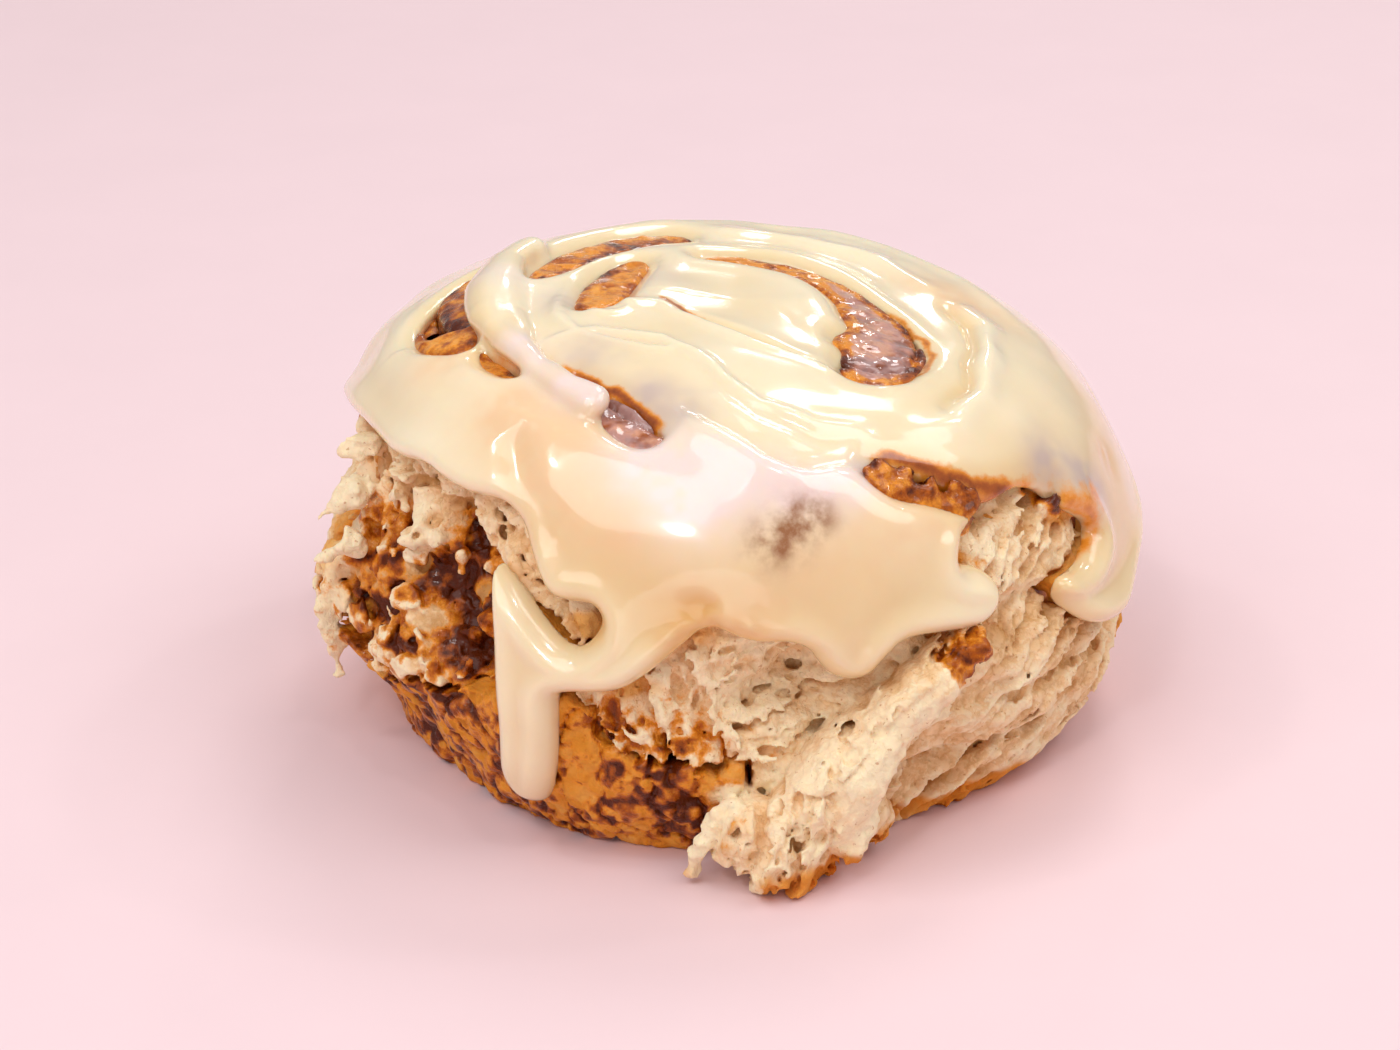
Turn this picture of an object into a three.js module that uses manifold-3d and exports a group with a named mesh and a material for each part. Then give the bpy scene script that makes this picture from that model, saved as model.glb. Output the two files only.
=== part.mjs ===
// A cream cheese cinnamon roll that was pulled from a pan of its neighbours.
// A strip of soft dough is coiled round a layer of cinnamon filling. The top carries a thick sheet of icing
// that runs down the sides in lobes and drips. Where the neighbours were pulled away the side is torn crumb,
// a torn flap of dough leans out at the front, and the foot keeps the baked skin.
// Units are millimetres, +Z is up, the roll stands on z = 0, and the torn flap points to -Y.
import * as THREE from "three";
import { mergeGeometries, mergeVertices } from "three/addons/utils/BufferGeometryUtils.js";
import Module from "manifold-3d";

const wasm = await Module();
wasm.setup();

// Driving dimensions of the baked dough
const BELLY_RADIUS = 46; // widest ring of the side
const BELLY_HEIGHT = 24; // height of that ring
const FOOT_TUCK = 6.3; // how far the side draws in at the pan
const SHOULDER_FLARE = 7.6; // how far it would spread one belly height further up, if the top did not round it
const CROWN_HEIGHT = 47.3; // dough height on the axis
const CROWN_DROP = 6.4; // fall of the top from the axis to DROP_RADIUS
const DROP_RADIUS = 38;
const DROP_POWER = 3.9; // the middle is flat and the fall comes late
const CROWN_TILT = 0.069; // rise of the top per millimetre to the left
const SHOULDER_ROUND = 18; // blend between top and side
const HUB = new THREE.Vector3(0, 0, 20); // every part of the outside can be seen from this inner point

// The seam between the coils round the eye of the coil, as [degrees turned, radius]
const EYE = { x: 4, y: -1 };
const SEAM = [
  [-183, 9.1], [-127, 6.5], [-75, 11.3], [-57, 17], [-39, 18.8], [-19, 17.1], [21, 15.4], [64, 19.5],
  [92, 22.1], [128, 24.6], [164, 21.8], [196, 29.5], [230, 28.9], [245, 30.8], [288, 31.5], [300, 34],
  [321, 36.4], [333, 36.2], [360, 35.4], [400, 35.2], [450, 36], [490, 38.6], [522, 40], [539, 38.6],
  [548, 36.5],
];
// How deep the top dips along it, as [degrees turned, depth]
const GROOVE = [
  [-183, 0.6], [-57, 1.2], [-25, 3.2], [20, 3.8], [100, 3.4], [164, 3], [235, 3.6], [262, 2], [288, 3],
  [325, 2.6], [360, 0.8], [450, 1], [480, 2.4], [548, 2.8],
];
const GROOVE_HALF_WIDTH = 4;
const GROOVE_FADE = [30, 40]; // the groove fades out between these heights

// The cinnamon filling
const FILLING_THICKNESS = 2.2;
const FILLING_GAP = 0.3; // clearance to the dough on either side
const FILLING_HEIGHTS = [0.6, 12, 24, 60]; // the lowest is its foot, the highest is past its trimmed top
const FILLING_SUNK = 0.5; // how far it lies under the smooth skin of the dough
const FILLING_SPAN = [-180, 540]; // degrees of the seam that it follows
const FILLING_STEP = 13;

// Bulges (+) and hollows (-) of the side: azimuth in degrees, height, half width, half height, depth
const SWELLS = [
  { name: "left clump", azimuth: 190, height: 18, width: 14, tall: 9, out: 3.8 },
  { name: "left notch", azimuth: 190, height: 28.5, width: 5, tall: 2.6, out: -2.4 },
  { name: "left foot", azimuth: 206, height: 6, width: 16, tall: 6, out: -2.6 },
  { name: "left shoulder", azimuth: 200, height: 40, width: 14, tall: 6, out: -1.2 },
  { name: "left hollow", azimuth: 222, height: 27, width: 9, tall: 7, out: -3 },
  { name: "foot bulge", azimuth: 252, height: 8, width: 15, tall: 6, out: 0.9 },
  { name: "front hollow", azimuth: 279, height: 20.5, width: 8, tall: 5.5, out: -3.6 },
  { name: "flap valley", azimuth: 301, height: 12, width: 5, tall: 9, out: -2.2 },
  { name: "crumb bulge", azimuth: 319, height: 30.5, width: 9, tall: 5, out: 1.2 },
  { name: "bulge crease", azimuth: 318, height: 23.6, width: 13, tall: 1.8, out: -2 },
  { name: "right foot", azimuth: 340, height: 9, width: 14, tall: 8, out: 1.6 },
    { name: "back hollow", azimuth: 112, height: 24, width: 13, tall: 8, out: -2 },
];

// The torn flap: a ridge from its crisp tip down to the toe that reaches out on the table
const FLAP = [
  { at: [25.5, -38, 24.5], radius: 2.6 },
  { at: [19, -41, 18.5], radius: 4.6 },
  { at: [12, -42.5, 11], radius: 6 },
  { at: [2.5, -45.5, 5], radius: 6.6 },
];
const TOE = [
  { at: [-0.5, -44.5, 4.4], radius: 5.8 },
  { at: [13.5, -39.5, 5], radius: 6.4 },
];
const FLAP_BLEND = 2; // between the ridge and the toe
const FLAP_HUB = new THREE.Vector3(9, -41.5, 8.5); // all of the flap can be seen from here

// Torn faces: from azimuth to azimuth, above a lowest height
const TORN_FACES = [
  { name: "left", from: 170, to: 224, low: 13 },
  { name: "left front", from: 220, to: 262, low: 17 },
  { name: "front right", from: 262, to: 352, low: 2 },
  { name: "back", from: 82, to: 146, low: 7 },
];
const TORN_EDGE_DEGREES = 4;
const TORN_EDGE_HEIGHT = 2.5;
const TORN_DEPTH = 3.4; // crags are cut in from the smooth side, never raised from it
const CRAG_LENGTHS = [11, 6]; // wavelengths of the two sizes of crag
const CRAG_WAVES = 7; // crossed waves in each

// The icing
const ICING_GAP = 0.3; // clearance over the dough
const ICING_ROOT = 1.5; // it is drawn this far into the dough, then the dough and the gap are cut away
const ICING_THICKNESS = 2.1;
const ICING_LIP = 2.6; // the edge rounds off over this width
const ICING_GROOVE_SHARE = 0.55; // how much of the seam's groove still shows on top of the icing
const ICING_WAVE = 0.45; // slow unevenness of its thickness
// Where the sheet ends on the side: [azimuth, height], with the lobes that ran down
const HEM = [
  [0, 23], [10, 28], [22, 34], [35, 35.5], [48, 33], [58, 26], [66, 24.5], [74, 29], [86, 34.5],
  [100, 35], [112, 30.5], [121, 29.5], [130, 34], [145, 36.5], [158, 33], [168, 32], [178, 35.5],
  [195, 36.5], [206, 36.4], [218, 37.6], [228, 38.2], [235, 37], [238.5, 33], [240, 27], [242, 23],
  [245, 21.2], [248, 20.7],
  [252, 20.6], [257, 22.6], [261, 28], [266, 30.2], [272, 29], [278, 26.6], [282, 24.2], [286, 22.4],
  [290, 24.8], [296, 26.8], [302, 27], [306, 30], [310, 34.5], [315, 36.6], [321, 35.4], [326, 30.5],
  [331, 22.5], [336, 18], [345, 18.4], [353, 20.4], [360, 23],
];
// A long drip on its own beside the sheet, from its thin start to its round end, given on the side
const DRIP = [
  { azimuth: 235, height: 31, radius: 1.1 },
  { azimuth: 238, height: 26.5, radius: 3 },
  { azimuth: 240.3, height: 21, radius: 3.7 },
  { azimuth: 240.8, height: 14, radius: 3.4 },
  { azimuth: 240, height: 8.4, radius: 3.2 },
];
const DRIP_FLATTENING = 0.62; // its thickness over its width
// Places on the top where the seam shows through the icing, along the seam or round a point
const SEAM_WINDOWS = [
  { name: "left gap", from: 508, to: 546, width: 2.3 },
  { name: "front left gap", from: 226, to: 247, width: 2.1 },
  { name: "front right gap", from: 287, to: 323, width: 1.7 },
  { name: "eye back line", from: 22, to: 100, width: 1.7 },
  { name: "back left gap", from: 462, to: 497, width: 1.9 },
];
const ROUND_WINDOWS = [
  { name: "eye end", x: 15.8, y: -6, width: 4.1, length: 8, turned: -64 },
  { name: "bare coil", x: -14.6, y: 11, width: 2.4, length: 6.4, turned: 62 },
];
const COVE = { azimuth: 246.6, height: 28, width: 3.6, tall: 2.8 }; // bare crumb inside the hooked lobe

const DEGREE = Math.PI / 180;

const clamp = (value, low, high) => Math.min(Math.max(value, low), high);

function smoothstep(low, high, value) {
  const t = clamp((value - low) / (high - low), 0, 1);
  return t * t * (3 - 2 * t);
}

function smoothMax(a, b, blend) {
  const h = Math.max(blend - Math.abs(a - b), 0) / blend;
  return Math.max(a, b) + (h * h * blend) / 4;
}

const smoothMin = (a, b, blend) => -smoothMax(-a, -b, blend);

// A smooth curve through [position, value] points, by cubic pieces
function curveAt(points, position) {
  const last = points.length - 1;
  if (position <= points[0][0]) return points[0][1];
  if (position >= points[last][0]) return points[last][1];
  let i = 0;
  while (points[i + 1][0] < position) i += 1;
  const [x0, y0] = points[i];
  const [x1, y1] = points[i + 1];
  const span = x1 - x0;
  const slope = (a, b) => (points[b][1] - points[a][1]) / (points[b][0] - points[a][0]);
  const m0 = slope(Math.max(i - 1, 0), i + 1) * span;
  const m1 = slope(i, Math.min(i + 2, last)) * span;
  const t = (position - x0) / span;
  const a = 2 * y0 - 2 * y1 + m0 + m1;
  const b = -3 * y0 + 3 * y1 - 2 * m0 - m1;
  return ((a * t + b) * t + m0) * t + y0;
}

const azimuthOf = (x, y) => (Math.atan2(y, x) / DEGREE + 360) % 360;

// Shortest turn from one azimuth to another, in degrees
const turnBetween = (from, to) => ((to - from + 540) % 360) - 180;

// Radius of the baked side at a height
function sideRadius(z) {
  const q = (z - BELLY_HEIGHT) / BELLY_HEIGHT;
  return q < 0
    ? BELLY_RADIUS - FOOT_TUCK * Math.pow(Math.min(-q, 1.2), 2.6)
    : BELLY_RADIUS + SHOULDER_FLARE * Math.pow(q, 2.1);
}

// Height of the smooth top over a point
function crownHeight(x, y) {
  return CROWN_HEIGHT - CROWN_DROP * (Math.hypot(x, y) / DROP_RADIUS) ** DROP_POWER - CROWN_TILT * x;
}

function swellAt(azimuth, z) {
  let out = 0;
  for (const swell of SWELLS) {
    const across = (turnBetween(swell.azimuth, azimuth) * DEGREE * BELLY_RADIUS) / swell.width;
    const up = (z - swell.height) / swell.tall;
    out += swell.out * Math.exp(-across * across - up * up);
  }
  return out;
}

// Distance to a chain of balls that grow or shrink from one to the next
function chainDistance(chain, x, y, z) {
  let nearest = Infinity;
  for (let i = 0; i + 1 < chain.length; i += 1) {
    const [ax, ay, az] = chain[i].at;
    const [bx, by, bz] = chain[i + 1].at;
    const [dx, dy, dz] = [bx - ax, by - ay, bz - az];
    const along = (x - ax) * dx + (y - ay) * dy + (z - az) * dz;
    const t = clamp(along / (dx * dx + dy * dy + dz * dz), 0, 1);
    const gap = Math.hypot(x - ax - t * dx, y - ay - t * dy, z - az - t * dz);
    nearest = Math.min(nearest, gap - chain[i].radius - t * (chain[i + 1].radius - chain[i].radius));
  }
  return nearest;
}

// The smooth baked body with its swells, negative inside
function body(x, y, z) {
  const side = Math.hypot(x, y) - sideRadius(z) - swellAt(azimuthOf(x, y), z);
  return smoothMax(side, z - crownHeight(x, y), SHOULDER_ROUND);
}

// How far the top dips because of the turns of the seam near a point
function grooveDepth(x, y, z) {
  const turned = Math.atan2(y - EYE.y, x - EYE.x) / DEGREE;
  const radius = Math.hypot(x - EYE.x, y - EYE.y);
  let dip = 0;
  for (let t = turned - 360; t <= SEAM[SEAM.length - 1][0]; t += 360) {
    if (t < SEAM[0][0]) continue;
    const seam = curveAt(SEAM, t);
    const slope = (curveAt(SEAM, t + 2) - curveAt(SEAM, t - 2)) / (4 * DEGREE * seam);
    const away = (radius - seam) / Math.hypot(1, slope) / GROOVE_HALF_WIDTH;
    dip = Math.max(dip, curveAt(GROOVE, t) * Math.exp(-away * away));
  }
  return dip * smoothstep(...GROOVE_FADE, z);
}

// How torn the side is, from 0 on baked skin and under the icing to 1 on open crumb
function tornAt(x, y, z) {
  const azimuth = azimuthOf(x, y);
  let torn = 0;
  for (const face of TORN_FACES) {
    const inside = Math.min(azimuth - face.from, face.to - azimuth);
    const across = smoothstep(-TORN_EDGE_DEGREES, TORN_EDGE_DEGREES, inside);
    torn = Math.max(torn, across * smoothstep(-TORN_EDGE_HEIGHT, TORN_EDGE_HEIGHT, z - face.low));
  }
  const hem = curveAt(HEM, azimuth);
  return torn * (1 - smoothstep(hem - TORN_EDGE_HEIGHT / 2, hem + TORN_EDGE_HEIGHT, z));
}

// Uneven relief from 0 to 1: crossed sine waves in directions spread by the golden angle
function crag(x, y, z, wavelength) {
  let sum = 0;
  for (let i = 0; i < CRAG_WAVES; i += 1) {
    const up = 1 - (2 * i + 1) / CRAG_WAVES;
    const level = Math.sqrt(1 - up * up);
    const turn = i * 2.39996;
    const along = x * level * Math.cos(turn) + y * level * Math.sin(turn) + z * up;
    sum += Math.sin((2 * Math.PI * along) / wavelength + 1.7 * i);
  }
  return clamp(0.5 + (0.8 * sum) / CRAG_WAVES, 0, 1);
}

// The dough before it was torn: the smooth body with the groove of the seam in its top
const bakedSurface = (x, y, z) => body(x, y, z) + grooveDepth(x, y, z);

// The outside of the dough, with the torn crags cut in
function doughSurface(x, y, z) {
  const cut = 0.6 * crag(x, y, z, CRAG_LENGTHS[0]) + 0.4 * crag(x, y, z, CRAG_LENGTHS[1]);
  return bakedSurface(x, y, z) + TORN_DEPTH * tornAt(x, y, z) * cut;
}

// The icing lies in the groove too, but fills part of it
const icedSurface = (x, y, z) => body(x, y, z) + ICING_GROOVE_SHARE * grooveDepth(x, y, z);

// The point at which a ray from a hub meets the level set of a field
function reach(field, azimuth, rise, level, hub = HUB) {
  const direction = new THREE.Vector3(
    Math.cos(rise) * Math.cos(azimuth),
    Math.cos(rise) * Math.sin(azimuth),
    Math.sin(rise),
  );
  let near = 0;
  let far = 80;
  for (let i = 0; i < 40; i += 1) {
    const middle = (near + far) / 2;
    const p = direction.clone().multiplyScalar(middle).add(hub);
    if (p.z > 0 && field(p.x, p.y, p.z) < level) near = middle;
    else far = middle;
  }
  const point = direction.multiplyScalar(near).add(hub);
  if (point.z < 1e-3) point.z = 0;
  return point;
}

// A closed surface round the hub, meshed like a box: a square grid on top, columns on the side, and a floor.
// place(azimuth, share) gives a point; share runs from 0 at the top's middle to 1 at its rim to 2 at the foot.
function boxGrid(columns, sideRows, place, floor) {
  const across = columns / 4;
  const box = new THREE.BoxGeometry(2, 2, 2, across, across, sideRows);
  const position = box.getAttribute("position");
  const snap = (value, parts) => (Math.round(((value + 1) * parts) / 2) * 2) / parts - 1;
  for (let i = 0; i < position.count; i += 1) {
    const [x, y] = [snap(position.getX(i), across), snap(position.getY(i), across)];
    const z = snap(position.getZ(i), sideRows);
    const rim = Math.max(Math.abs(x), Math.abs(y));
    const quarter = Math.abs(x) >= Math.abs(y) ? (x > 0 ? 0 : 2) : y > 0 ? 1 : 3;
    const lean = [y, -x, -y, x][quarter] / (rim || 1);
    const azimuth = ((quarter + lean / 2) * Math.PI) / 2;
    const onTop = z > 1 - 1e-6;
    const p = place(rim < 1e-6 ? 0 : azimuth, onTop ? rim : 1 + (1 - z) / 2);
    position.setXYZ(i, p.x, p.y, p.z);
  }
  const bottom = box.groups[5];
  const open = bare(box);
  open.setIndex([...box.index.array].slice(0, bottom.start));
  return mergeGeometries([open, bare(floor(columns))]);
}

const bare = (geometry) => {
  const copy = geometry.clone().deleteAttribute("normal").deleteAttribute("uv");
  copy.clearGroups();
  return copy;
};

// The azimuths of the columns, evenly turned
const columnAzimuth = (column, columns) => ((column / columns - 1 / 8) * 2 * Math.PI);

// A flat floor through the foot of every column
const flatFloor = (place) => (columns) => {
  const ring = [];
  for (let i = 0; i < columns; i += 1) {
    const p = place(columnAzimuth(i, columns), 2);
    ring.push(new THREE.Vector2(p.x, p.y));
  }
  const geometry = new THREE.ShapeGeometry(new THREE.Shape(ring));
  geometry.setIndex([...geometry.index.array].reverse());
  return geometry;
};

// A cone from the foot of every column to the hub
const hubFloor = (place) => (columns) => {
  const cone = new THREE.ConeGeometry(1, 1, columns, 1, true);
  const position = cone.getAttribute("position");
  for (let i = 0; i <= columns; i += 1) {
    const p = place(columnAzimuth(i % columns, columns), 2);
    position.setXYZ(i, HUB.x, HUB.y, HUB.z);
    position.setXYZ(columns + 1 + i, p.x, p.y, p.z);
  }
  cone.setIndex([...cone.index.array].reverse());
  return cone;
};

// The point on the table where the foot of a level set lies, straight out from the axis
function reachFlat(field, direction, level) {
  let near = 0;
  let far = 80;
  for (let i = 0; i < 40; i += 1) {
    const middle = (near + far) / 2;
    if (field(direction.x * middle, direction.y * middle, 0) < level) near = middle;
    else far = middle;
  }
  return new THREE.Vector3(direction.x * near, direction.y * near, 0);
}

function solidOf(geometry) {
  const merged = mergeVertices(bare(geometry), 1e-4);
  const vertProperties = new Float32Array(merged.getAttribute("position").array);
  const triVerts = new Uint32Array(merged.index.array);
  const solid = new wasm.Manifold(new wasm.Mesh({ numProp: 3, vertProperties, triVerts }));
  if (solid.volume() > 0) return solid;
  for (let i = 0; i < triVerts.length; i += 3)
    [triVerts[i], triVerts[i + 1]] = [triVerts[i + 1], triVerts[i]];
  return new wasm.Manifold(new wasm.Mesh({ numProp: 3, vertProperties, triVerts }));
}

function geometryOf(solid) {
  const { vertProperties, triVerts } = solid.getMesh();
  const geometry = new THREE.BufferGeometry();
  geometry.setAttribute("position", new THREE.BufferAttribute(vertProperties, 3));
  geometry.setIndex(new THREE.BufferAttribute(triVerts, 1));
  geometry.computeVertexNormals();
  return geometry;
}

// The band of a given half width along the seam, as a flat outline, with room past its ends
function seamBand(from, to, halfWidthAt, step, endRoom = 0) {
  const left = [];
  const right = [];
  const steps = Math.max(4, Math.round((to - from) / step));
  const at = (t) => {
    const r = curveAt(SEAM, t);
    return new THREE.Vector2(EYE.x + r * Math.cos(t * DEGREE), EYE.y + r * Math.sin(t * DEGREE));
  };
  for (let i = 0; i <= steps; i += 1) {
    const t = from + ((to - from) * i) / steps;
    const ahead = at(t + 0.5).sub(at(t - 0.5)).normalize();
    const half = halfWidthAt(i / steps);
    const past = i === 0 ? -endRoom : i === steps ? endRoom : 0;
    const p = at(t).add(ahead.clone().multiplyScalar(past));
    left.push(new THREE.Vector2(p.x - ahead.y * half, p.y + ahead.x * half));
    right.push(new THREE.Vector2(p.x + ahead.y * half, p.y - ahead.x * half));
  }
  return new THREE.Shape([...left, ...right.reverse()]);
}

// The band raised into a wall that follows the swelling of the side, through a list of heights
function seamWall(halfWidth, endRoom, heights) {
  const band = seamBand(FILLING_SPAN[0], FILLING_SPAN[1], () => halfWidth, FILLING_STEP, endRoom);
  const steps = heights.length - 1;
  const geometry = new THREE.ExtrudeGeometry(band, { depth: 1, steps, bevelEnabled: false });
  const position = geometry.getAttribute("position");
  for (let i = 0; i < position.count; i += 1) {
    const z = heights[Math.round(position.getZ(i) * steps)];
    const swell = sideRadius(Math.min(z, BELLY_HEIGHT)) / BELLY_RADIUS;
    position.setXYZ(i, position.getX(i) * swell, position.getY(i) * swell, z);
  }
  return solidOf(geometry);
}

// The dough strip: the outside, less the slot that the filling lies in
const DOUGH_COLUMNS = 76;
const DOUGH_ROWS = 14;
const SHOULDER_RISE = 24 * DEGREE; // the rise of the rim of the top, seen from the hub
const FOOT_RISE = -26.5 * DEGREE;

// A level set of a field on the rows and columns of the dough
function doughGrid(field, level) {
  const place = (azimuth, share) => {
    const foot = new THREE.Vector3(Math.cos(azimuth), Math.sin(azimuth), 0);
    if (share > 2 - 1e-6) return reachFlat(field, foot, level);
    const rise = share <= 1
      ? Math.PI / 2 + (SHOULDER_RISE - Math.PI / 2) * share
      : SHOULDER_RISE + (FOOT_RISE - SHOULDER_RISE) * (share - 1);
    return reach(field, azimuth, rise, level);
  };
  return solidOf(boxGrid(DOUGH_COLUMNS, DOUGH_ROWS, place, flatFloor(place)));
}

// The flap: its ridge and toe with the same torn crags
function flapSurface(x, y, z) {
  const cut = 0.5 * crag(x, y, z, CRAG_LENGTHS[0]) + 0.5 * crag(x, y, z, CRAG_LENGTHS[1]);
  const smooth = smoothMin(chainDistance(FLAP, x, y, z), chainDistance(TOE, x, y, z), FLAP_BLEND);
  return smooth + 0.5 * TORN_DEPTH * cut;
}

function makeFlap() {
  const place = (azimuth, v) => reach(flapSurface, azimuth, Math.PI * (0.5 - v), 0, FLAP_HUB);
  return solidOf(sphereGrid(26, 16, place));
}

function makeDough() {
  const slot = seamWall(FILLING_THICKNESS / 2 + FILLING_GAP, FILLING_GAP, [-2, ...FILLING_HEIGHTS]);
  return doughGrid(doughSurface, 0).add(makeFlap()).subtract(slot);
}

// The filling: a wall along the seam, trimmed to lie under the skin of the dough
function makeFilling() {
  const inner = doughGrid(bakedSurface, -FILLING_SUNK);
  return seamWall(FILLING_THICKNESS / 2, 0, FILLING_HEIGHTS).intersect(inner);
}

// Distance along the side from a place on it to the nearest point of the hem
function hemDistance(azimuth, height) {
  let nearest = Infinity;
  for (let turn = -24; turn <= 24; turn += 1) {
    const across = turn * DEGREE * BELLY_RADIUS;
    const hem = curveAt(HEM, (azimuth + turn + 360) % 360);
    nearest = Math.min(nearest, Math.hypot(across, height - hem));
  }
  return nearest;
}

// Thickness of the icing at a distance in from its edge
function icingThickness(x, y, fromEdge) {
  const lip = 1 - clamp(fromEdge / ICING_LIP, 0, 1);
  const wave = ICING_WAVE * (2 * crag(x, y, 0, 24) - 1);
  return (ICING_THICKNESS + wave) * Math.sqrt(Math.max(1 - lip * lip, 0));
}

const ICING_COLUMNS = 96;
const ICING_ROWS = 7;
const LIP_ROWS = 3; // the lowest rows lie on the rounded edge
const ICING_RIM_RISE = 36 * DEGREE;

// The sheet: a grid over the top and down to the hem, closed towards the hub
function makeSheet() {
  const place = (azimuth, share) => {
    const hemHeight = curveAt(HEM, (azimuth / DEGREE + 360) % 360);
    const hemRise = Math.atan2(hemHeight - HUB.z, BELLY_RADIUS);
    const lipRise = hemRise + ICING_LIP / BELLY_RADIUS;
    const down = (share - 1) * ICING_ROWS;
    const lipStart = ICING_ROWS - LIP_ROWS;
    let rise = Math.PI / 2 + (ICING_RIM_RISE - Math.PI / 2) * share;
    if (share > 1) rise = ICING_RIM_RISE + ((lipRise - ICING_RIM_RISE) * down) / lipStart;
    if (down > lipStart) rise = hemRise + (lipRise - hemRise) * (1 - (down - lipStart) / LIP_ROWS) ** 2;
    const under = reach(icedSurface, azimuth, rise, ICING_GAP);
    const fromEdge = hemDistance((azimuth / DEGREE + 360) % 360, HUB.z + Math.tan(rise) * BELLY_RADIUS);
    const thickness = share > 2 - 1e-6 ? -ICING_ROOT : icingThickness(under.x, under.y, fromEdge);
    return reach(icedSurface, azimuth, rise, ICING_GAP + thickness);
  };
  return boxGrid(ICING_COLUMNS, ICING_ROWS, place, hubFloor(place));
}

// A closed surface with a sphere's mesh, whose vertices are placed by row and column
function sphereGrid(columns, rows, place) {
  const geometry = new THREE.SphereGeometry(1, columns, rows);
  const position = geometry.getAttribute("position");
  for (let row = 0; row <= rows; row += 1)
    for (let column = 0; column <= columns; column += 1) {
      const turn = -((column % columns) / columns) * 2 * Math.PI;
      const pole = row === 0 || row === rows;
      const p = place(pole ? 0 : turn, row / rows);
      position.setXYZ(row * (columns + 1) + column, p.x, p.y, p.z);
    }
  return geometry;
}

// The long drip: flattened balls and the cones between them, set on the side
function makeDrip() {
  const columns = 12;
  const rows = 15;
  const first = DRIP[0];
  const last = DRIP[DRIP.length - 1];
  const topEnd = first.height + first.radius;
  const length = topEnd - (last.height - last.radius);
  return sphereGrid(columns, rows, (turn, v) => {
    const z = topEnd - length * (1 - Math.cos(Math.PI * v)) * 0.5;
    const down = DRIP.map((p) => [-p.height, p.azimuth]);
    const azimuth = curveAt(down, -z) * DEGREE;
    const wide = curveAt(DRIP.map((p) => [-p.height, p.radius]), -z);
    const endGap = Math.min(topEnd - z, z - (topEnd - length));
    const round = Math.sqrt(Math.max(1 - (1 - clamp(endGap / wide, 0, 1)) ** 2, 0));
    const across = wide * round * Math.cos(turn);
    const out = DRIP_FLATTENING * wide * round * Math.sin(turn);
    const level = out > 0 ? ICING_GAP + out : -ICING_ROOT;
    const rise = Math.atan2(z - HUB.z, BELLY_RADIUS);
    return reach(body, azimuth + across / BELLY_RADIUS, rise, level);
  });
}

function ellipseShape({ x, y, width, length, turned }) {
  const shape = new THREE.Shape();
  shape.absellipse(x, y, length, width, 0, 2 * Math.PI, false, turned * DEGREE);
  return shape;
}

function makeWindows() {
  const shapes = SEAM_WINDOWS.map(({ from, to, width }) =>
    seamBand(from, to, (q) => width * Math.sqrt(Math.max(1 - (2 * q - 1) ** 2, 0.02)), 4),
  );
  shapes.push(...ROUND_WINDOWS.map(ellipseShape));
  return shapes.map((shape) => {
    const geometry = new THREE.ExtrudeGeometry(shape, { depth: 40, bevelEnabled: false, curveSegments: 10 });
    return solidOf(geometry.translate(0, 0, 30));
  });
}

function makeCove() {
  const geometry = new THREE.CylinderGeometry(1, 1, 24, 20);
  geometry.rotateZ(Math.PI / 2).scale(1, COVE.width, COVE.tall);
  geometry.translate(BELLY_RADIUS, 0, COVE.height).rotateZ(COVE.azimuth * DEGREE);
  return solidOf(geometry);
}

function makeIcing() {
  let icing = solidOf(makeSheet());
  icing = icing.subtract(makeCove()).add(solidOf(makeDrip()));
  for (const gap of makeWindows()) icing = icing.subtract(gap);
  return icing.subtract(doughGrid(bakedSurface, ICING_GAP));
}

const materials = {
  crumb: new THREE.MeshStandardMaterial({ color: 0xe3c79c, roughness: 0.85, metalness: 0 }),
  cinnamon: new THREE.MeshStandardMaterial({ color: 0x6b3413, roughness: 0.5, metalness: 0 }),
  icing: new THREE.MeshStandardMaterial({ color: 0xf7e7bf, roughness: 0.2, metalness: 0 }),
};

function named(name, solid, material) {
  const mesh = new THREE.Mesh(geometryOf(solid).translate(AXIS.x, AXIS.y, 0), material);
  mesh.name = name;
  return mesh;
}

// The roll's axis stands here, so that the middle of its footprint is at the origin
const AXIS = { x: 0.7, y: 3.25 };

const roll = new THREE.Group();
roll.add(named("dough", makeDough(), materials.crumb));
roll.add(named("cinnamon_filling", makeFilling(), materials.cinnamon));
roll.add(named("icing", makeIcing(), materials.icing));

export default roll;
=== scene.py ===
# %% [markdown]
# # A cream cheese cinnamon roll
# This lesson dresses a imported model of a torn-off cinnamon roll: open crumb where its neighbours were
# pulled away, a marbled baked skin at the foot, sticky filling in the gaps, and icing that runs down.
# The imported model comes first. Everything made later sits in the same frame, and its box is kept so that
# the finished roll can be compared with it.

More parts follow.
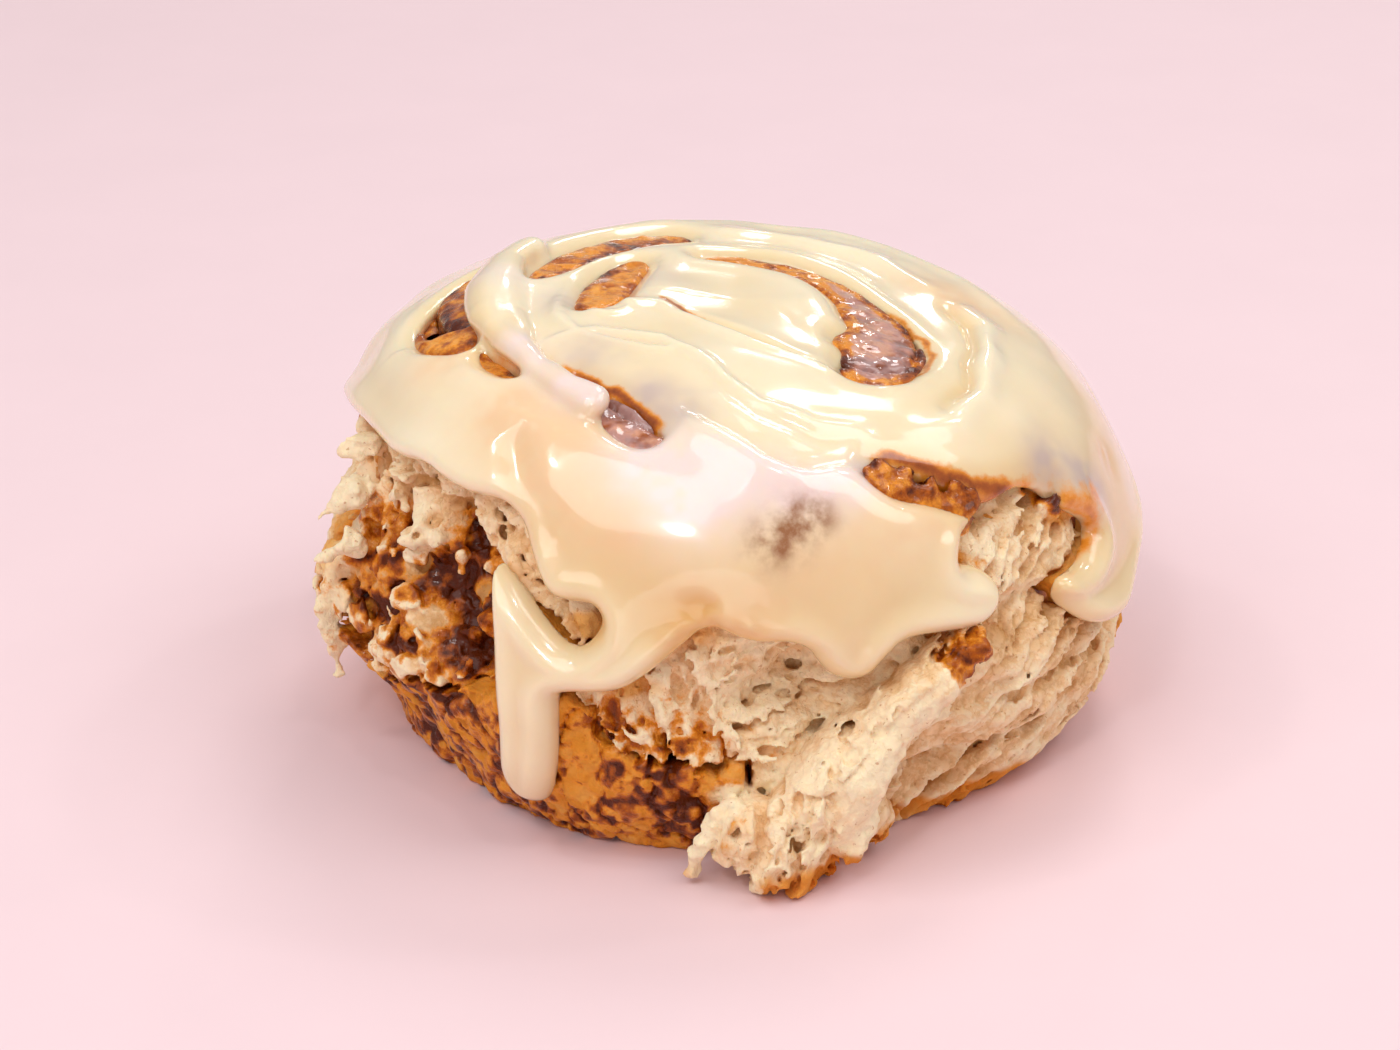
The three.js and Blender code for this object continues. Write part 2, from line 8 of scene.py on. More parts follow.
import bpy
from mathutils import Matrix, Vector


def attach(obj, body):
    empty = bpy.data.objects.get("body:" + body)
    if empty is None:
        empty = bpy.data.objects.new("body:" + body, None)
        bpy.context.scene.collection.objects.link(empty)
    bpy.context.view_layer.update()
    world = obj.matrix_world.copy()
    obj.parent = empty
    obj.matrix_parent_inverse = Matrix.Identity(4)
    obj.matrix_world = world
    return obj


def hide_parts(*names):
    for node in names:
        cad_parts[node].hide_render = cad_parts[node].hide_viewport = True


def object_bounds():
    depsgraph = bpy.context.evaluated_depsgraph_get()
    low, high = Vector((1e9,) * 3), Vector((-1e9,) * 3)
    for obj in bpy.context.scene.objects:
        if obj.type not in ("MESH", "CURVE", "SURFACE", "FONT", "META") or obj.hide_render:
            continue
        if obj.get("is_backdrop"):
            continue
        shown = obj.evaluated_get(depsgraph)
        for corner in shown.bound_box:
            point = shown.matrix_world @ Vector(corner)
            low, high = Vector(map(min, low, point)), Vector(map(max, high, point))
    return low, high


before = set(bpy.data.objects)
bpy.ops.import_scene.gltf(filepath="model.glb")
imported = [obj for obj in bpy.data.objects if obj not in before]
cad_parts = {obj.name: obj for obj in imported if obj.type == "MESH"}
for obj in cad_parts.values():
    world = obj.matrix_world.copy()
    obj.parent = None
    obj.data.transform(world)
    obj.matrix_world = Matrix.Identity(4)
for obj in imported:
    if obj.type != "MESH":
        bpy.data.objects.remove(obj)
packed_box = [list(corner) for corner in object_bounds()]

import math
import time

import bpy
import numpy as np
import openvdb
from mathutils import Vector

MM = 0.001
started = time.time()
print("packed nodes:", sorted(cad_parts))

# %% [markdown]
# ## The baked shape as numbers
# A sculptor would model bread by hand, and a displaced ball would do from far away. Torn bread has holes and
# overhangs that neither can hold, so this lesson describes each piece as a field: a function that is
# negative inside the piece and positive outside it. Fields can be cut, pressed and joined with plain
# arithmetic, and a mesh is made from them at the end.
# These are the measures of the baked dough, in millimetres from the roll's own axis.

# %% Measures of the baked dough
AXIS = np.array([0.7, 3.25, 0.0])  # where the roll's axis stands on the table
BELLY_RADIUS, BELLY_HEIGHT = 46.0, 24.0  # how wide the side is at its widest, and where
FOOT_TUCK, FOOT_POWER = 6.3, 2.6  # how far the side draws in below the belly, and how suddenly
SHOULDER_FLARE, SHOULDER_POWER = 7.6, 2.1  # and how far it spreads above it
CROWN_HEIGHT, CROWN_TILT = 47.3, 0.069  # height of the crown, and its fall for each millimetre to the right
CROWN_DROP, DROP_RADIUS, DROP_POWER = 6.4, 38.0, 3.9  # it drops so much, so far out, and so suddenly
SHOULDER_ROUND = 18.0  # how widely side and crown blend into each other
EYE = (4.0, -1.0)  # middle of the coil
print(f"baked dough: {2 * BELLY_RADIUS:.0f} mm across the belly, {CROWN_HEIGHT} mm high")


# %% Curves and soft joins
def curve(points, at):
    """A smooth curve through (place, value) points."""
    places, values = np.array(points, float).T
    at = np.clip(at, places[0], places[-1])
    i = np.clip(np.searchsorted(places, at) - 1, 0, len(places) - 2)
    before, after = np.maximum(i - 1, 0), np.minimum(i + 2, len(places) - 1)
    span = places[i + 1] - places[i]
    leave = (values[i + 1] - values[before]) / (places[i + 1] - places[before]) * span
    arrive = (values[after] - values[i]) / (places[after] - places[i]) * span
    t = (at - places[i]) / span
    y0, y1 = values[i], values[i + 1]
    bend, turn = 2 * y0 - 2 * y1 + leave + arrive, -3 * y0 + 3 * y1 - 2 * leave - arrive
    return ((bend * t + turn) * t + leave) * t + y0


def smoothstep(low, high, value):
    """A soft step from 0 at low to 1 at high."""
    t = np.clip((value - low) / (high - low), 0, 1)
    return t * t * (3 - 2 * t)


def smooth_max(a, b, blend):
    """The larger of two values, rounded off where they are closer than blend."""
    h = np.maximum(blend - np.abs(a - b), 0) / blend
    return np.maximum(a, b) + h * h * blend / 4


def smooth_min(a, b, blend):
    return -smooth_max(-a, -b, blend)


print(f"a soft step is {smoothstep(0, 1, 0.25):.2f} a quarter of the way along")

# %% [markdown]
# ## Two maps of the surface
# Most of what is seen on a roll lies on its side or on its top: where the icing ends, where the crumb is
# torn, where cinnamon shows. Each such thing is drawn once as a picture of numbers on one of two maps.
# The side map is the side unrolled, by azimuth and height. The plan map is the top seen from above.
# Reading a map at a point is far quicker than working the shape out again for millions of points.

# %% The side map and the plan map
AROUND = math.radians(1) * BELLY_RADIUS  # millimetres round the belly for one degree


class Map:
    """A regular grid of places, with a way to read values drawn on it."""

    def __init__(self, first, last, step):
        self.first, self.step = np.array(first, float), np.array(step, float)
        axes = [np.arange(a, b + s / 2, s) for a, b, s in zip(first, last, step)]
        self.u, self.v = np.meshgrid(*axes, indexing="ij")

    def read(self, values, u, v):
        i = np.clip((u - self.first[0]) / self.step[0], 0, values.shape[0] - 1.001)
        j = np.clip((v - self.first[1]) / self.step[1], 0, values.shape[1] - 1.001)
        i0, j0 = i.astype(np.int32), j.astype(np.int32)
        fi, fj = i - i0, j - j0
        flat, wide = values.ravel(), values.shape[1]
        at = i0 * wide + j0
        low = flat[at] * (1 - fj) + flat[at + 1] * fj
        high = flat[at + wide] * (1 - fj) + flat[at + wide + 1] * fj
        return low * (1 - fi) + high * fi


side_map = Map((0, -2), (360, 56), (0.25, 0.25))
plan_map = Map((-54, -54), (54, 54), (0.25, 0.25))


def azimuth_of(x, y):
    """Degrees round the roll, from its right side, seen from above."""
    return np.degrees(np.arctan2(y, x)) % 360


print(f"side map {side_map.u.shape}, plan map {plan_map.u.shape}")


# %% Ways to draw on a map
def turn_between(start, end):
    """Degrees from one azimuth to another, the short way round."""
    return (end - start + 540) % 360 - 180


def patches(places):
    """Soft round patches on the side map: azimuth, height, half width, half height, strength."""
    total = np.zeros(side_map.u.shape)
    for azimuth, height, width, tall, strength in places:
        across = turn_between(azimuth, side_map.u) * AROUND / width
        total += strength * np.exp(-across**2 - ((side_map.v - height) / tall) ** 2)
    return total


def rounded(outline, passes=2):
    """Cuts the corners of a closed outline."""
    points = np.array(outline, float)
    for _ in range(passes):
        after = np.roll(points, -1, axis=0)
        points = np.stack([0.75 * points + 0.25 * after, 0.25 * points + 0.75 * after], 1).reshape(-1, 2)
    return points


def inside_outline(points, u, v):
    """Distance in from a closed outline, negative outside it."""
    nearest, crossings = np.full(u.shape, 1e9), np.zeros(u.shape, int)
    for (au, av), (bu, bv) in zip(points, np.roll(points, -1, axis=0)):
        du, dv = bu - au, bv - av
        t = np.clip(((u - au) * du + (v - av) * dv) / max(du * du + dv * dv, 1e-9), 0, 1)
        nearest = np.minimum(nearest, (u - au - t * du) ** 2 + (v - av - t * dv) ** 2)
        if du:
            crossings += ((u < au) != (u < bu)) & (v < av + (u - au) / du * dv)
    return np.where(crossings % 2, 1, -1) * np.sqrt(nearest)


def along_line(points, u, v):
    """Distance to a line of points, and how far along it that is, from 0 to 1."""
    points = np.array(points, float)
    nearest, share = np.full(u.shape, 1e9), np.zeros(u.shape)
    for i, ((au, av), (bu, bv)) in enumerate(zip(points[:-1], points[1:])):
        du, dv = bu - au, bv - av
        t = np.clip(((u - au) * du + (v - av) * dv) / max(du * du + dv * dv, 1e-9), 0, 1)
        gap = (u - au - t * du) ** 2 + (v - av - t * dv) ** 2
        share = np.where(gap < nearest, (i + t) / (len(points) - 1), share)
        nearest = np.minimum(nearest, gap)
    return np.sqrt(nearest), share


print(f"a square's four corners round to {len(rounded([(0, 0), (1, 0), (1, 1), (0, 1)]))} points")

# %% [markdown]
# ## The seam of the coil
# A cinnamon roll is one long strip, so a single seam winds outwards from the eye. The plan map gets the
# distance to that seam, with a sign, and how deep the baked top dips along it.

# %% Draw the seam on the plan map
SEAM = [  # the seam between the coils: degrees turned round the eye, radius
    (-183, 9.1), (-127, 6.5), (-75, 11.3), (-57, 17), (-39, 18.8), (-19, 17.1), (21, 15.4), (64, 19.5),
    (92, 22.1), (128, 24.6), (164, 21.8), (196, 29.5), (230, 28.9), (245, 30.8), (288, 31.5), (300, 34),
    (321, 36.4), (333, 36.2), (360, 35.4), (400, 35.2), (450, 36), (490, 38.6), (522, 40), (539, 38.6),
    (548, 36.5)]
GROOVE = [  # how deep the top dips along it
    (-183, 0.6), (-57, 1.2), (-25, 3.2), (20, 3.8), (100, 3.4), (164, 3), (235, 3.6), (262, 2), (288, 3),
    (325, 2.6), (360, 0.8), (450, 1), (480, 2.4), (548, 2.8)]
GROOVE_HALF_WIDTH, GROOVE_FADE = 4.0, (30.0, 40.0)  # its half width, and the heights between which it fades
LAPS = (-360, 0, 360, 720)  # whole turns that bring each direction onto the seam


def draw_seam():
    turned = np.degrees(np.arctan2(plan_map.v - EYE[1], plan_map.u - EYE[0]))
    radius = np.hypot(plan_map.u - EYE[0], plan_map.v - EYE[1])
    dip, away = np.zeros(radius.shape), np.full(radius.shape, 99.0)
    for lap in LAPS:
        t = turned + lap
        inside = (t >= SEAM[0][0]) & (t <= SEAM[-1][0])
        seam = curve(SEAM, t)
        slope = (curve(SEAM, t + 2) - curve(SEAM, t - 2)) / (math.radians(4) * seam)
        gap = (radius - seam) / np.hypot(1, slope)
        groove = curve(GROOVE, t) * np.exp(-((gap / GROOVE_HALF_WIDTH) ** 2))
        dip = np.where(inside, np.maximum(dip, groove), dip)
        away = np.where(inside & (np.abs(gap) < np.abs(away)), gap, away)
    return dip, away


dip_drawn, seam_drawn = draw_seam()
print(f"the seam dips the top by up to {dip_drawn.max():.1f} mm")

# %% [markdown]
# ## The smooth baked body
# Before it was torn, the roll was a low drum with a foot that tucks in, a full belly, and a crown that drops
# away at the shoulder. One formula gives the side and one the crown, and the two are joined softly. Bulges
# and hollows of the side are drawn on the side map and added.

# %% The baked body
SWELLS = [  # bulges and hollows of the side: azimuth, height, half width, half height, how far out
    (190, 18, 14, 9, 3.8), (190, 28.5, 5, 2.6, -2.4), (206, 6, 16, 6, -2.6), (200, 40, 14, 6, -1.2),
    (222, 27, 9, 7, -3), (252, 8, 15, 6, 0.9), (279, 20.5, 8, 5.5, -3.6), (301, 12, 5, 9, -2.2),
    (319, 30.5, 9, 5, 1.2), (318, 23.6, 13, 1.8, -2), (340, 9, 14, 8, 1.6), (112, 24, 13, 8, -2)]
swell_drawn = patches(SWELLS)


def side_radius(z):
    """How far out the side is at a height, before its bulges."""
    q = (z - BELLY_HEIGHT) / BELLY_HEIGHT
    below = BELLY_RADIUS - FOOT_TUCK * np.clip(-q, 0, 1.2) ** FOOT_POWER
    above = BELLY_RADIUS + SHOULDER_FLARE * np.clip(q, 0, None) ** SHOULDER_POWER
    return np.where(q < 0, below, above)


def crown_at(x, y):
    """How high the crown is over a place."""
    return CROWN_HEIGHT - CROWN_DROP * (np.hypot(x, y) / DROP_RADIUS) ** DROP_POWER - CROWN_TILT * x


def body(x, y, z):
    """The smooth baked body, negative inside."""
    side = np.hypot(x, y) - side_radius(z) - side_map.read(swell_drawn, azimuth_of(x, y), z)
    return smooth_max(side, z - crown_at(x, y), SHOULDER_ROUND)


def dip_at(x, y, z):
    """How deep the seam's groove is at a place on the top."""
    return plan_map.read(dip_drawn, x, y) * smoothstep(*GROOVE_FADE, z)


print(f"the foot is {side_radius(np.array(0.0)):.1f} mm out from the axis, the belly {BELLY_RADIUS} mm")

# %% [markdown]
# ## Where the icing lies
# On the real roll the icing was poured warm, so its hem hangs in lobes, one of them a long drip. The hem is
# one outline on the side map. Gaps on the top are outlines on the plan map. The distance in from the
# nearest edge then shapes the rounded lip all the way round.

# %% Outlines of the icing
HEM = [  # where the icing ends: azimuth, height, going round once with the hook and the drip
    (0, 22), (10, 28), (22, 34), (35, 35.5), (48, 33), (58, 26), (66, 24.5), (74, 29), (86, 34.5),
    (100, 35), (112, 30.5), (121, 29.5), (130, 34), (145, 36.5), (158, 33), (168, 32), (178, 35.5),
    (190, 37.6), (201, 38.2), (210, 38.3), (217, 39.4), (222, 38.7), (228, 38.4), (233, 38.9),
    (237.4, 37.5), (239.5, 35.2), (241.5, 33.0), (243.7, 31), (246.5, 30.6), (250, 30.9), (251.5, 29.6),
    (251.2, 28.2), (249.6, 26.4), (247.6, 25.6), (245, 26.7), (242.2, 28.5), (239, 30.6), (236.3, 31.9),
    (234.1, 32.8), (234.6, 29.6), (235.6, 25.8), (236.4, 21.5), (237, 17), (236.9, 12.8), (236.2, 9.4),
    (237, 6.6), (239.3, 5.2), (242, 5.6), (244, 8.4), (245.2, 12.6), (245.6, 17.4), (245.4, 20.6),
    (248, 21.3), (252, 21.6), (255, 22.4), (258, 24.2), (260.5, 26), (263, 27.8), (265, 29.2), (267, 29.4),
    (269.5, 28.4), (272.9, 27.6), (276.6, 27.6), (279.6, 26.7), (281.1, 24.6), (282.8, 23), (285.5, 22.3),
    (288.2, 23), (290.2, 25), (293, 26.7), (299, 26.3), (304, 25.9), (307, 26.8), (308.8, 28.4),
    (308.7, 30.2), (306.4, 31.6), (303.6, 32.2), (302.8, 33.2), (304.6, 34.8), (308.5, 36), (313.3, 36.3),
    (318.6, 36.9), (322.6, 36.1), (325.4, 35), (326.4, 33.4), (331, 31.4), (335, 28.9), (332, 27.6),
    (328, 26.2), (322.8, 26.6), (321.9, 25.4), (323.6, 22.9), (326.5, 20.6), (331, 18.9), (336, 18.2),
    (341, 19.6), (348, 20.8), (355, 21.2)]
GAPS = {  # bare places on the top, x and y
    "left crescent": [(-29.6, 11.4), (-32, 8.2), (-34.2, 4.4), (-35.6, 0), (-35.8, -4), (-34.9, -7.6),
                      (-32.8, -10), (-30, -11.4), (-28.6, -9.6), (-29.4, -5), (-29.8, 0), (-29.4, 5)],
    "dark spot": [(-28.2, -11.4), (-25.8, -13.4), (-23.4, -17), (-24, -18.6), (-25.6, -17.6), (-27.8, -14.8)],
    "front patch": [(-18.4, -18.2), (-15.2, -21.6), (-12.4, -24.4), (-10.2, -27), (-8.2, -29.4), (-7.8, -31),
                    (-9, -32.1), (-10.8, -32), (-12.6, -30.6), (-14, -28.8), (-14.4, -27.4), (-14.4, -26.2),
                    (-15.4, -24.2), (-17, -21.4)],
    "golden coil": [(-9.6, 11.9), (-13.4, 10.6), (-16.8, 4.7), (-18, -5.1), (-15.5, -4.4), (-13.2, -2.6),
                    (-11.8, 2.5)],
    "back left line": [(-23.2, 8.3), (-20.4, 14.6), (-17.6, 18.4), (-12.6, 23.4), (-7, 25.2), (-4.4, 22.6),
                       (-9.9, 18.2), (-14.5, 15.3), (-17.6, 11.2), (-21.1, 6.6), (-23.6, 4.7)],
    "eye": [(-5, 12.9), (-0.7, 15), (3, 14.8), (6.6, 13.2), (10.1, 10.9), (13.2, 7.6), (16, 3.3), (18.6, -1),
            (20.2, -5.4), (21, -9.6), (19.8, -13.7), (17.8, -17.4), (15.2, -19), (12.2, -18.6), (11.2, -15.4),
            (12.2, -11.6), (10.6, -8.6), (13.2, -5.6), (12.2, -1.7), (11.5, 3.4), (9, 7.6), (5.7, 10.1),
            (1, 12.2)],
    "right slit": [(13, -33), (14.2, -31.4), (16.4, -30.8), (19, -30.4), (22, -30.2), (25.2, -29.4),
                   (28.4, -27.6), (32.2, -23.9), (34.8, -21.2), (35, -22.2), (33, -24.2), (30, -27.4),
                   (27, -30), (24.6, -31.7), (22, -32.5), (19.4, -33.3), (16.8, -34.2), (14.2, -34.2)]}
HEM_TOP = 90.0  # the hem's outline is closed this high, above the roll
HEM_OVERLAP = 12  # so many points of the next lap are repeated at each end of the side map


def draw_hem():
    """Distance in from the hem, on the side map."""
    lap = np.array(HEM) * (AROUND, 1)
    once = (360 * AROUND, 0)
    around = np.concatenate([lap[-HEM_OVERLAP:] - once, lap, lap[:HEM_OVERLAP] + once])
    closed = np.concatenate([around, [(around[-1][0], HEM_TOP), (around[0][0], HEM_TOP)]])
    return inside_outline(rounded(closed), side_map.u * AROUND, side_map.v)


def draw_gaps():
    """Distance in from the edge of the nearest gap, on the plan map."""
    distance = np.full(plan_map.u.shape, -99.0)
    for outline in GAPS.values():
        distance = np.maximum(distance, inside_outline(rounded(outline), plan_map.u, plan_map.v))
    return distance


hem_drawn = draw_hem()
gap_drawn = draw_gaps()
print(f"icing covers {np.mean(hem_drawn > 0):.0%} of the side map, in {time.time() - started:.0f} s")

# %% What lies in the gaps
LIFTED = {"eye": 1.0, "front patch": 0.9, "right slit": 1.3, "golden coil": 1.2, "back left line": 1.0,
          "left crescent": 1.1, "dark spot": 0.6}  # how far the dough swells up between the edges of each gap
DARKNESS = {"left crescent": 0.8, "dark spot": 0.8, "front patch": 0.75, "golden coil": 0.6,
            "back left line": 0.7, "eye": 0.66, "right slit": 0.54}  # how dark the filling is in each gap
MOST_FILLED = 0.9  # the most that swollen dough fills of the groove below it


def draw_one_gap(name, soft=1.5):
    """1 in a gap, and down to 0 within soft mm round it."""
    return smoothstep(-soft, 0, inside_outline(rounded(GAPS[name]), plan_map.u, plan_map.v))


glaze_drawn = draw_one_gap("eye") * smoothstep(8.5, 11.5, plan_map.u) + draw_one_gap("front patch")
golden_coil_drawn = draw_one_gap("golden coil") + draw_one_gap("back left line")
crescent_drawn = draw_one_gap("left crescent") + draw_one_gap("dark spot")
slit_drawn = draw_one_gap("right slit")
lift_drawn = sum(draw_one_gap(name, 1.2) * lift for name, lift in LIFTED.items())
filled_drawn = sum(draw_one_gap(name, 3.5) * min(0.85 * lift, MOST_FILLED) for name, lift in LIFTED.items())
dip_drawn *= 1 - np.clip(filled_drawn, 0, MOST_FILLED)
darkness_drawn = sum(draw_one_gap(name, 3.5) * dark for name, dark in DARKNESS.items())
print(f"the dough swells up to {lift_drawn.max():.1f} mm in the gaps")

# %% [markdown]
# ## Noise for bread
# Nothing on bread repeats. Two kinds of randomness are enough for all of it: soft value noise, which gives
# lumps, and cells, which give the round pores of crumb. Both read seeded tables, so each run gives the
# same roll.

# %% Value noise and cells
TABLE = 32  # the noise repeats after this many cells
soft_table = np.random.default_rng(7).random((4, TABLE, TABLE, TABLE)).astype(np.float32)
cell_table = np.random.default_rng(11).random((TABLE, TABLE, TABLE, 4)).astype(np.float32)


def lumps(x, y, z, size, layer=0):
    """Soft noise from -1 to 1 with lumps of about the given size."""
    p = [np.asarray(c, np.float32) / size + 100 for c in (x, y, z)]
    whole = [np.floor(c).astype(np.int32) for c in p]
    part = [c - w for c, w in zip(p, whole)]
    part = [c * c * (3 - 2 * c) for c in part]
    low = [w % TABLE for w in whole]
    high = [(w + 1) % TABLE for w in whole]
    table = soft_table[layer % 4].ravel()
    total = 0
    for i, wx in ((low[0], 1 - part[0]), (high[0], part[0])):
        for j, wy in ((low[1], 1 - part[1]), (high[1], part[1])):
            row = (i * TABLE + j) * TABLE
            total = total + wx * wy * (table[row + low[2]] * (1 - part[2]) + table[row + high[2]] * part[2])
    return total * 2 - 1


def pores(x, y, z, size, least, spread):
    """Round cells: how deep a point lies in the nearest pore, in units of size, negative between pores."""
    p = [np.asarray(c, np.float32) / size + 100 for c in (x, y, z)]
    whole = [np.floor(c).astype(np.int32) for c in p]
    deepest = np.full(np.shape(p[0]), -1.0, np.float32)
    flat = cell_table.reshape(-1, 4)
    for a in (-1, 0, 1):
        for b in (-1, 0, 1):
            for c in (-1, 0, 1):
                i, j, k = whole[0] + a, whole[1] + b, whole[2] + c
                found = flat[((i % TABLE) * TABLE + j % TABLE) * TABLE + k % TABLE]
                dx, dy, dz = i + found[:, 0] - p[0], j + found[:, 1] - p[1], k + found[:, 2] - p[2]
                room = least + spread * found[:, 3] ** 2
                deepest = np.maximum(deepest, room - np.sqrt(dx * dx + dy * dy + dz * dz))
    return deepest


def layers(along, across, inward, spacing, layer=0):
    """Overlapping torn layers: 0 at each ragged raised edge, growing to 1 in the slot under the next one."""
    ragged = lumps(along * 2.6, across, inward, 0.9, 3)
    wander = 0.8 * lumps(along, across, inward, spacing * 2.4, layer) + 0.2 * ragged
    turn = across / spacing + wander
    return turn - np.floor(turn)


sample = lumps(*np.indices((12, 12, 12)).reshape(3, -1), 2.6)
print(f"soft noise runs from {sample.min():.2f} to {sample.max():.2f}")

# %% [markdown]
# ## From a field to a mesh
# The field is worked out only in a thin shell round the baked surface, on a grid of small cubes. OpenVDB,
# which comes with Blender, lays a mesh through the zero of such a grid.

# %% A mesh from a field
CELL = 0.32  # millimetres
BLOCK = 4  # the shell is found on blocks this many cells wide
SLAB = 16  # and the field is worked out in slabs this many cells high
BAND = 3  # it is kept only so many cells to each side of its zero
DIAGONAL = 1.74  # of a cube with sides of 1, rounded up


def without_crumbs(points, quads, least=400, passes=80):
    """Leaves out loose bits and bubbles with fewer points than least, by labels that spread over each."""
    label = np.arange(len(points))
    ends = np.concatenate([quads[:, (0, 1)], quads[:, (1, 2)], quads[:, (2, 3)]])
    for _ in range(passes):
        lowest = np.minimum(label[ends[:, 0]], label[ends[:, 1]])
        better = label.copy()
        np.minimum.at(better, ends[:, 0], lowest)
        np.minimum.at(better, ends[:, 1], lowest)
        better = better[better]
        if (better == label).all():
            break
        label = better
    size = np.bincount(label, minlength=len(points))[label]
    kept = size >= least
    renamed = np.cumsum(kept) - 1
    print(f"{(~kept).sum()} points of loose bits left out")
    return points[kept], renamed[quads[kept[quads[:, 0]]]]


def grid_mesh(field, low, high, cell, shell):
    """Points in mm and quads where field is zero. shell(x, y, z, slack) says where to work it out."""
    counts = [int(math.ceil((b - a) / cell / SLAB) * SLAB) for a, b in zip(low, high)]
    axes = [a + cell * np.arange(n, dtype=np.float32) for a, n in zip(low, counts)]
    middles = [axis.reshape(-1, BLOCK).mean(1) for axis in axes]
    slack, reach = cell * BLOCK / 2 * DIAGONAL, BAND * cell
    values = np.empty(counts, np.float32)
    worked = 0
    for k in range(0, counts[2], SLAB):
        zs = axes[2][k:k + SLAB]
        blocks = np.meshgrid(*middles[:2], middles[2][k // BLOCK:(k + SLAB) // BLOCK], indexing="ij")
        rough, near = shell(*blocks, slack)
        for axis in range(3):
            rough, near = np.repeat(rough, BLOCK, axis), np.repeat(near, BLOCK, axis)
        i, j, n = np.nonzero(near)
        slab = np.where(rough < 0, -reach, reach).astype(np.float32)
        slab[i, j, n] = np.clip(field(axes[0][i], axes[1][j], zs[n]), -reach, reach)
        values[:, :, k:k + SLAB] = slab
        worked += len(i)
    grid = openvdb.FloatGrid(reach)
    grid.copyFromArray(values)
    points, quads = grid.convertToQuads(isovalue=0.0)
    print(f"{worked} places worked out, {len(quads)} quads")
    return without_crumbs(points * cell + np.array(low, np.float32), quads[:, ::-1].astype(np.int64))


print(f"cells of {CELL} mm")


# %% A piece from a mesh
def new_mesh(name, places, corners, starts):
    """A smooth mesh from places in metres, the corners of its faces, and where in them each face starts."""
    mesh = bpy.data.meshes.new(name)
    mesh.vertices.add(len(places))
    mesh.vertices.foreach_set("co", places.astype(np.float32).ravel())
    mesh.loops.add(len(corners))
    mesh.loops.foreach_set("vertex_index", corners.astype(np.int32))
    mesh.polygons.add(len(starts))
    mesh.polygons.foreach_set("loop_start", starts.astype(np.int32))
    mesh.polygons.foreach_set("use_smooth", np.ones(len(starts), bool))
    mesh.update(calc_edges=True)
    return mesh


def piece_of(mesh, marks):
    """A piece of the roll that shows a mesh, with named numbers at its points."""
    for mark, values in marks.items():
        mesh.attributes.new(mark, "FLOAT", "POINT").data.foreach_set("value", values.astype(np.float32))
    piece = bpy.data.objects.new(mesh.name, mesh)
    bpy.context.scene.collection.objects.link(piece)
    return piece


def piece_from_points(name, points, quads, marks):
    """A piece from points in mm and quads."""
    starts = np.arange(0, quads.size, quads.shape[1])
    return piece_of(new_mesh(name, (points + AXIS) * MM, quads.ravel(), starts), marks)


THIN_STEPS, THIN_PULL = 4, 10.0  # how finely the weights are stepped, and how strongly they pull


def thin_out(piece, hidden, keep):
    """Merges faces where a weight from 0 to 1 at each point says they are hidden. Keeps a share of them."""
    group = piece.vertex_groups.new(name="hidden")
    steps = np.round(hidden * THIN_STEPS) / THIN_STEPS
    for step in np.unique(steps):
        if step > 0:
            group.add(np.flatnonzero(steps == step).tolist(), float(step), "REPLACE")
    thin = piece.modifiers.new("thin out", "DECIMATE")
    thin.ratio = float((steps == 0).mean() + keep)
    thin.vertex_group, thin.vertex_group_factor = "hidden", THIN_PULL
    bpy.context.view_layer.objects.active = piece
    bpy.context.view_layer.update()
    with bpy.context.temp_override(object=piece, active_object=piece):
        bpy.ops.object.modifier_apply(modifier="thin out")
    print(f"{piece.name}: {len(piece.data.polygons)} faces after thinning out")


# %% [markdown]
# ## Torn crumb
# A soft roll doesn't break, it tears: the crumb opens into pores stretched along the pull, and ragged sheets
# of it stand up. Where the cinnamon layer gave way first, deep hollows are left with clumps in them.
# How deep the tear goes is drawn on the side map, and pores and lumps are then cut from that smooth base.

# %% How deep the side is torn
TORN = {  # outlines of the torn faces on the side map: azimuth, height
    "left": [(166, 20), (172, 14), (180, 11.5), (190, 12), (197, 14.5), (205, 11.5), (214, 13.5), (222, 15),
             (230, 16.5), (238, 18), (246, 22), (250, 45), (172, 45), (174, 36), (169, 28)],
    "front": [(243, 45), (245.6, 22), (247.2, 19.6), (249.4, 18.4), (251, 15.8), (254, 15.2), (256.6, 13.4),
              (260, 13.6), (263.6, 12.2), (267.8, 11.6), (270, 12), (272.5, 10.2), (274, 6), (275, 0),
              (275, -6), (350, -6), (353, 4), (349, 11), (356, 17), (352, 24), (357, 33), (352, 45)],
    "back": [(79, 20), (83, 13), (90, 10), (99, 6.5), (108, 8.5), (118, 7), (128, 5.5), (137, 9),
             (145, 10.5), (151, 15), (155, 23), (151, 31), (154, 44), (84, 44), (81, 33), (76, 27)]}
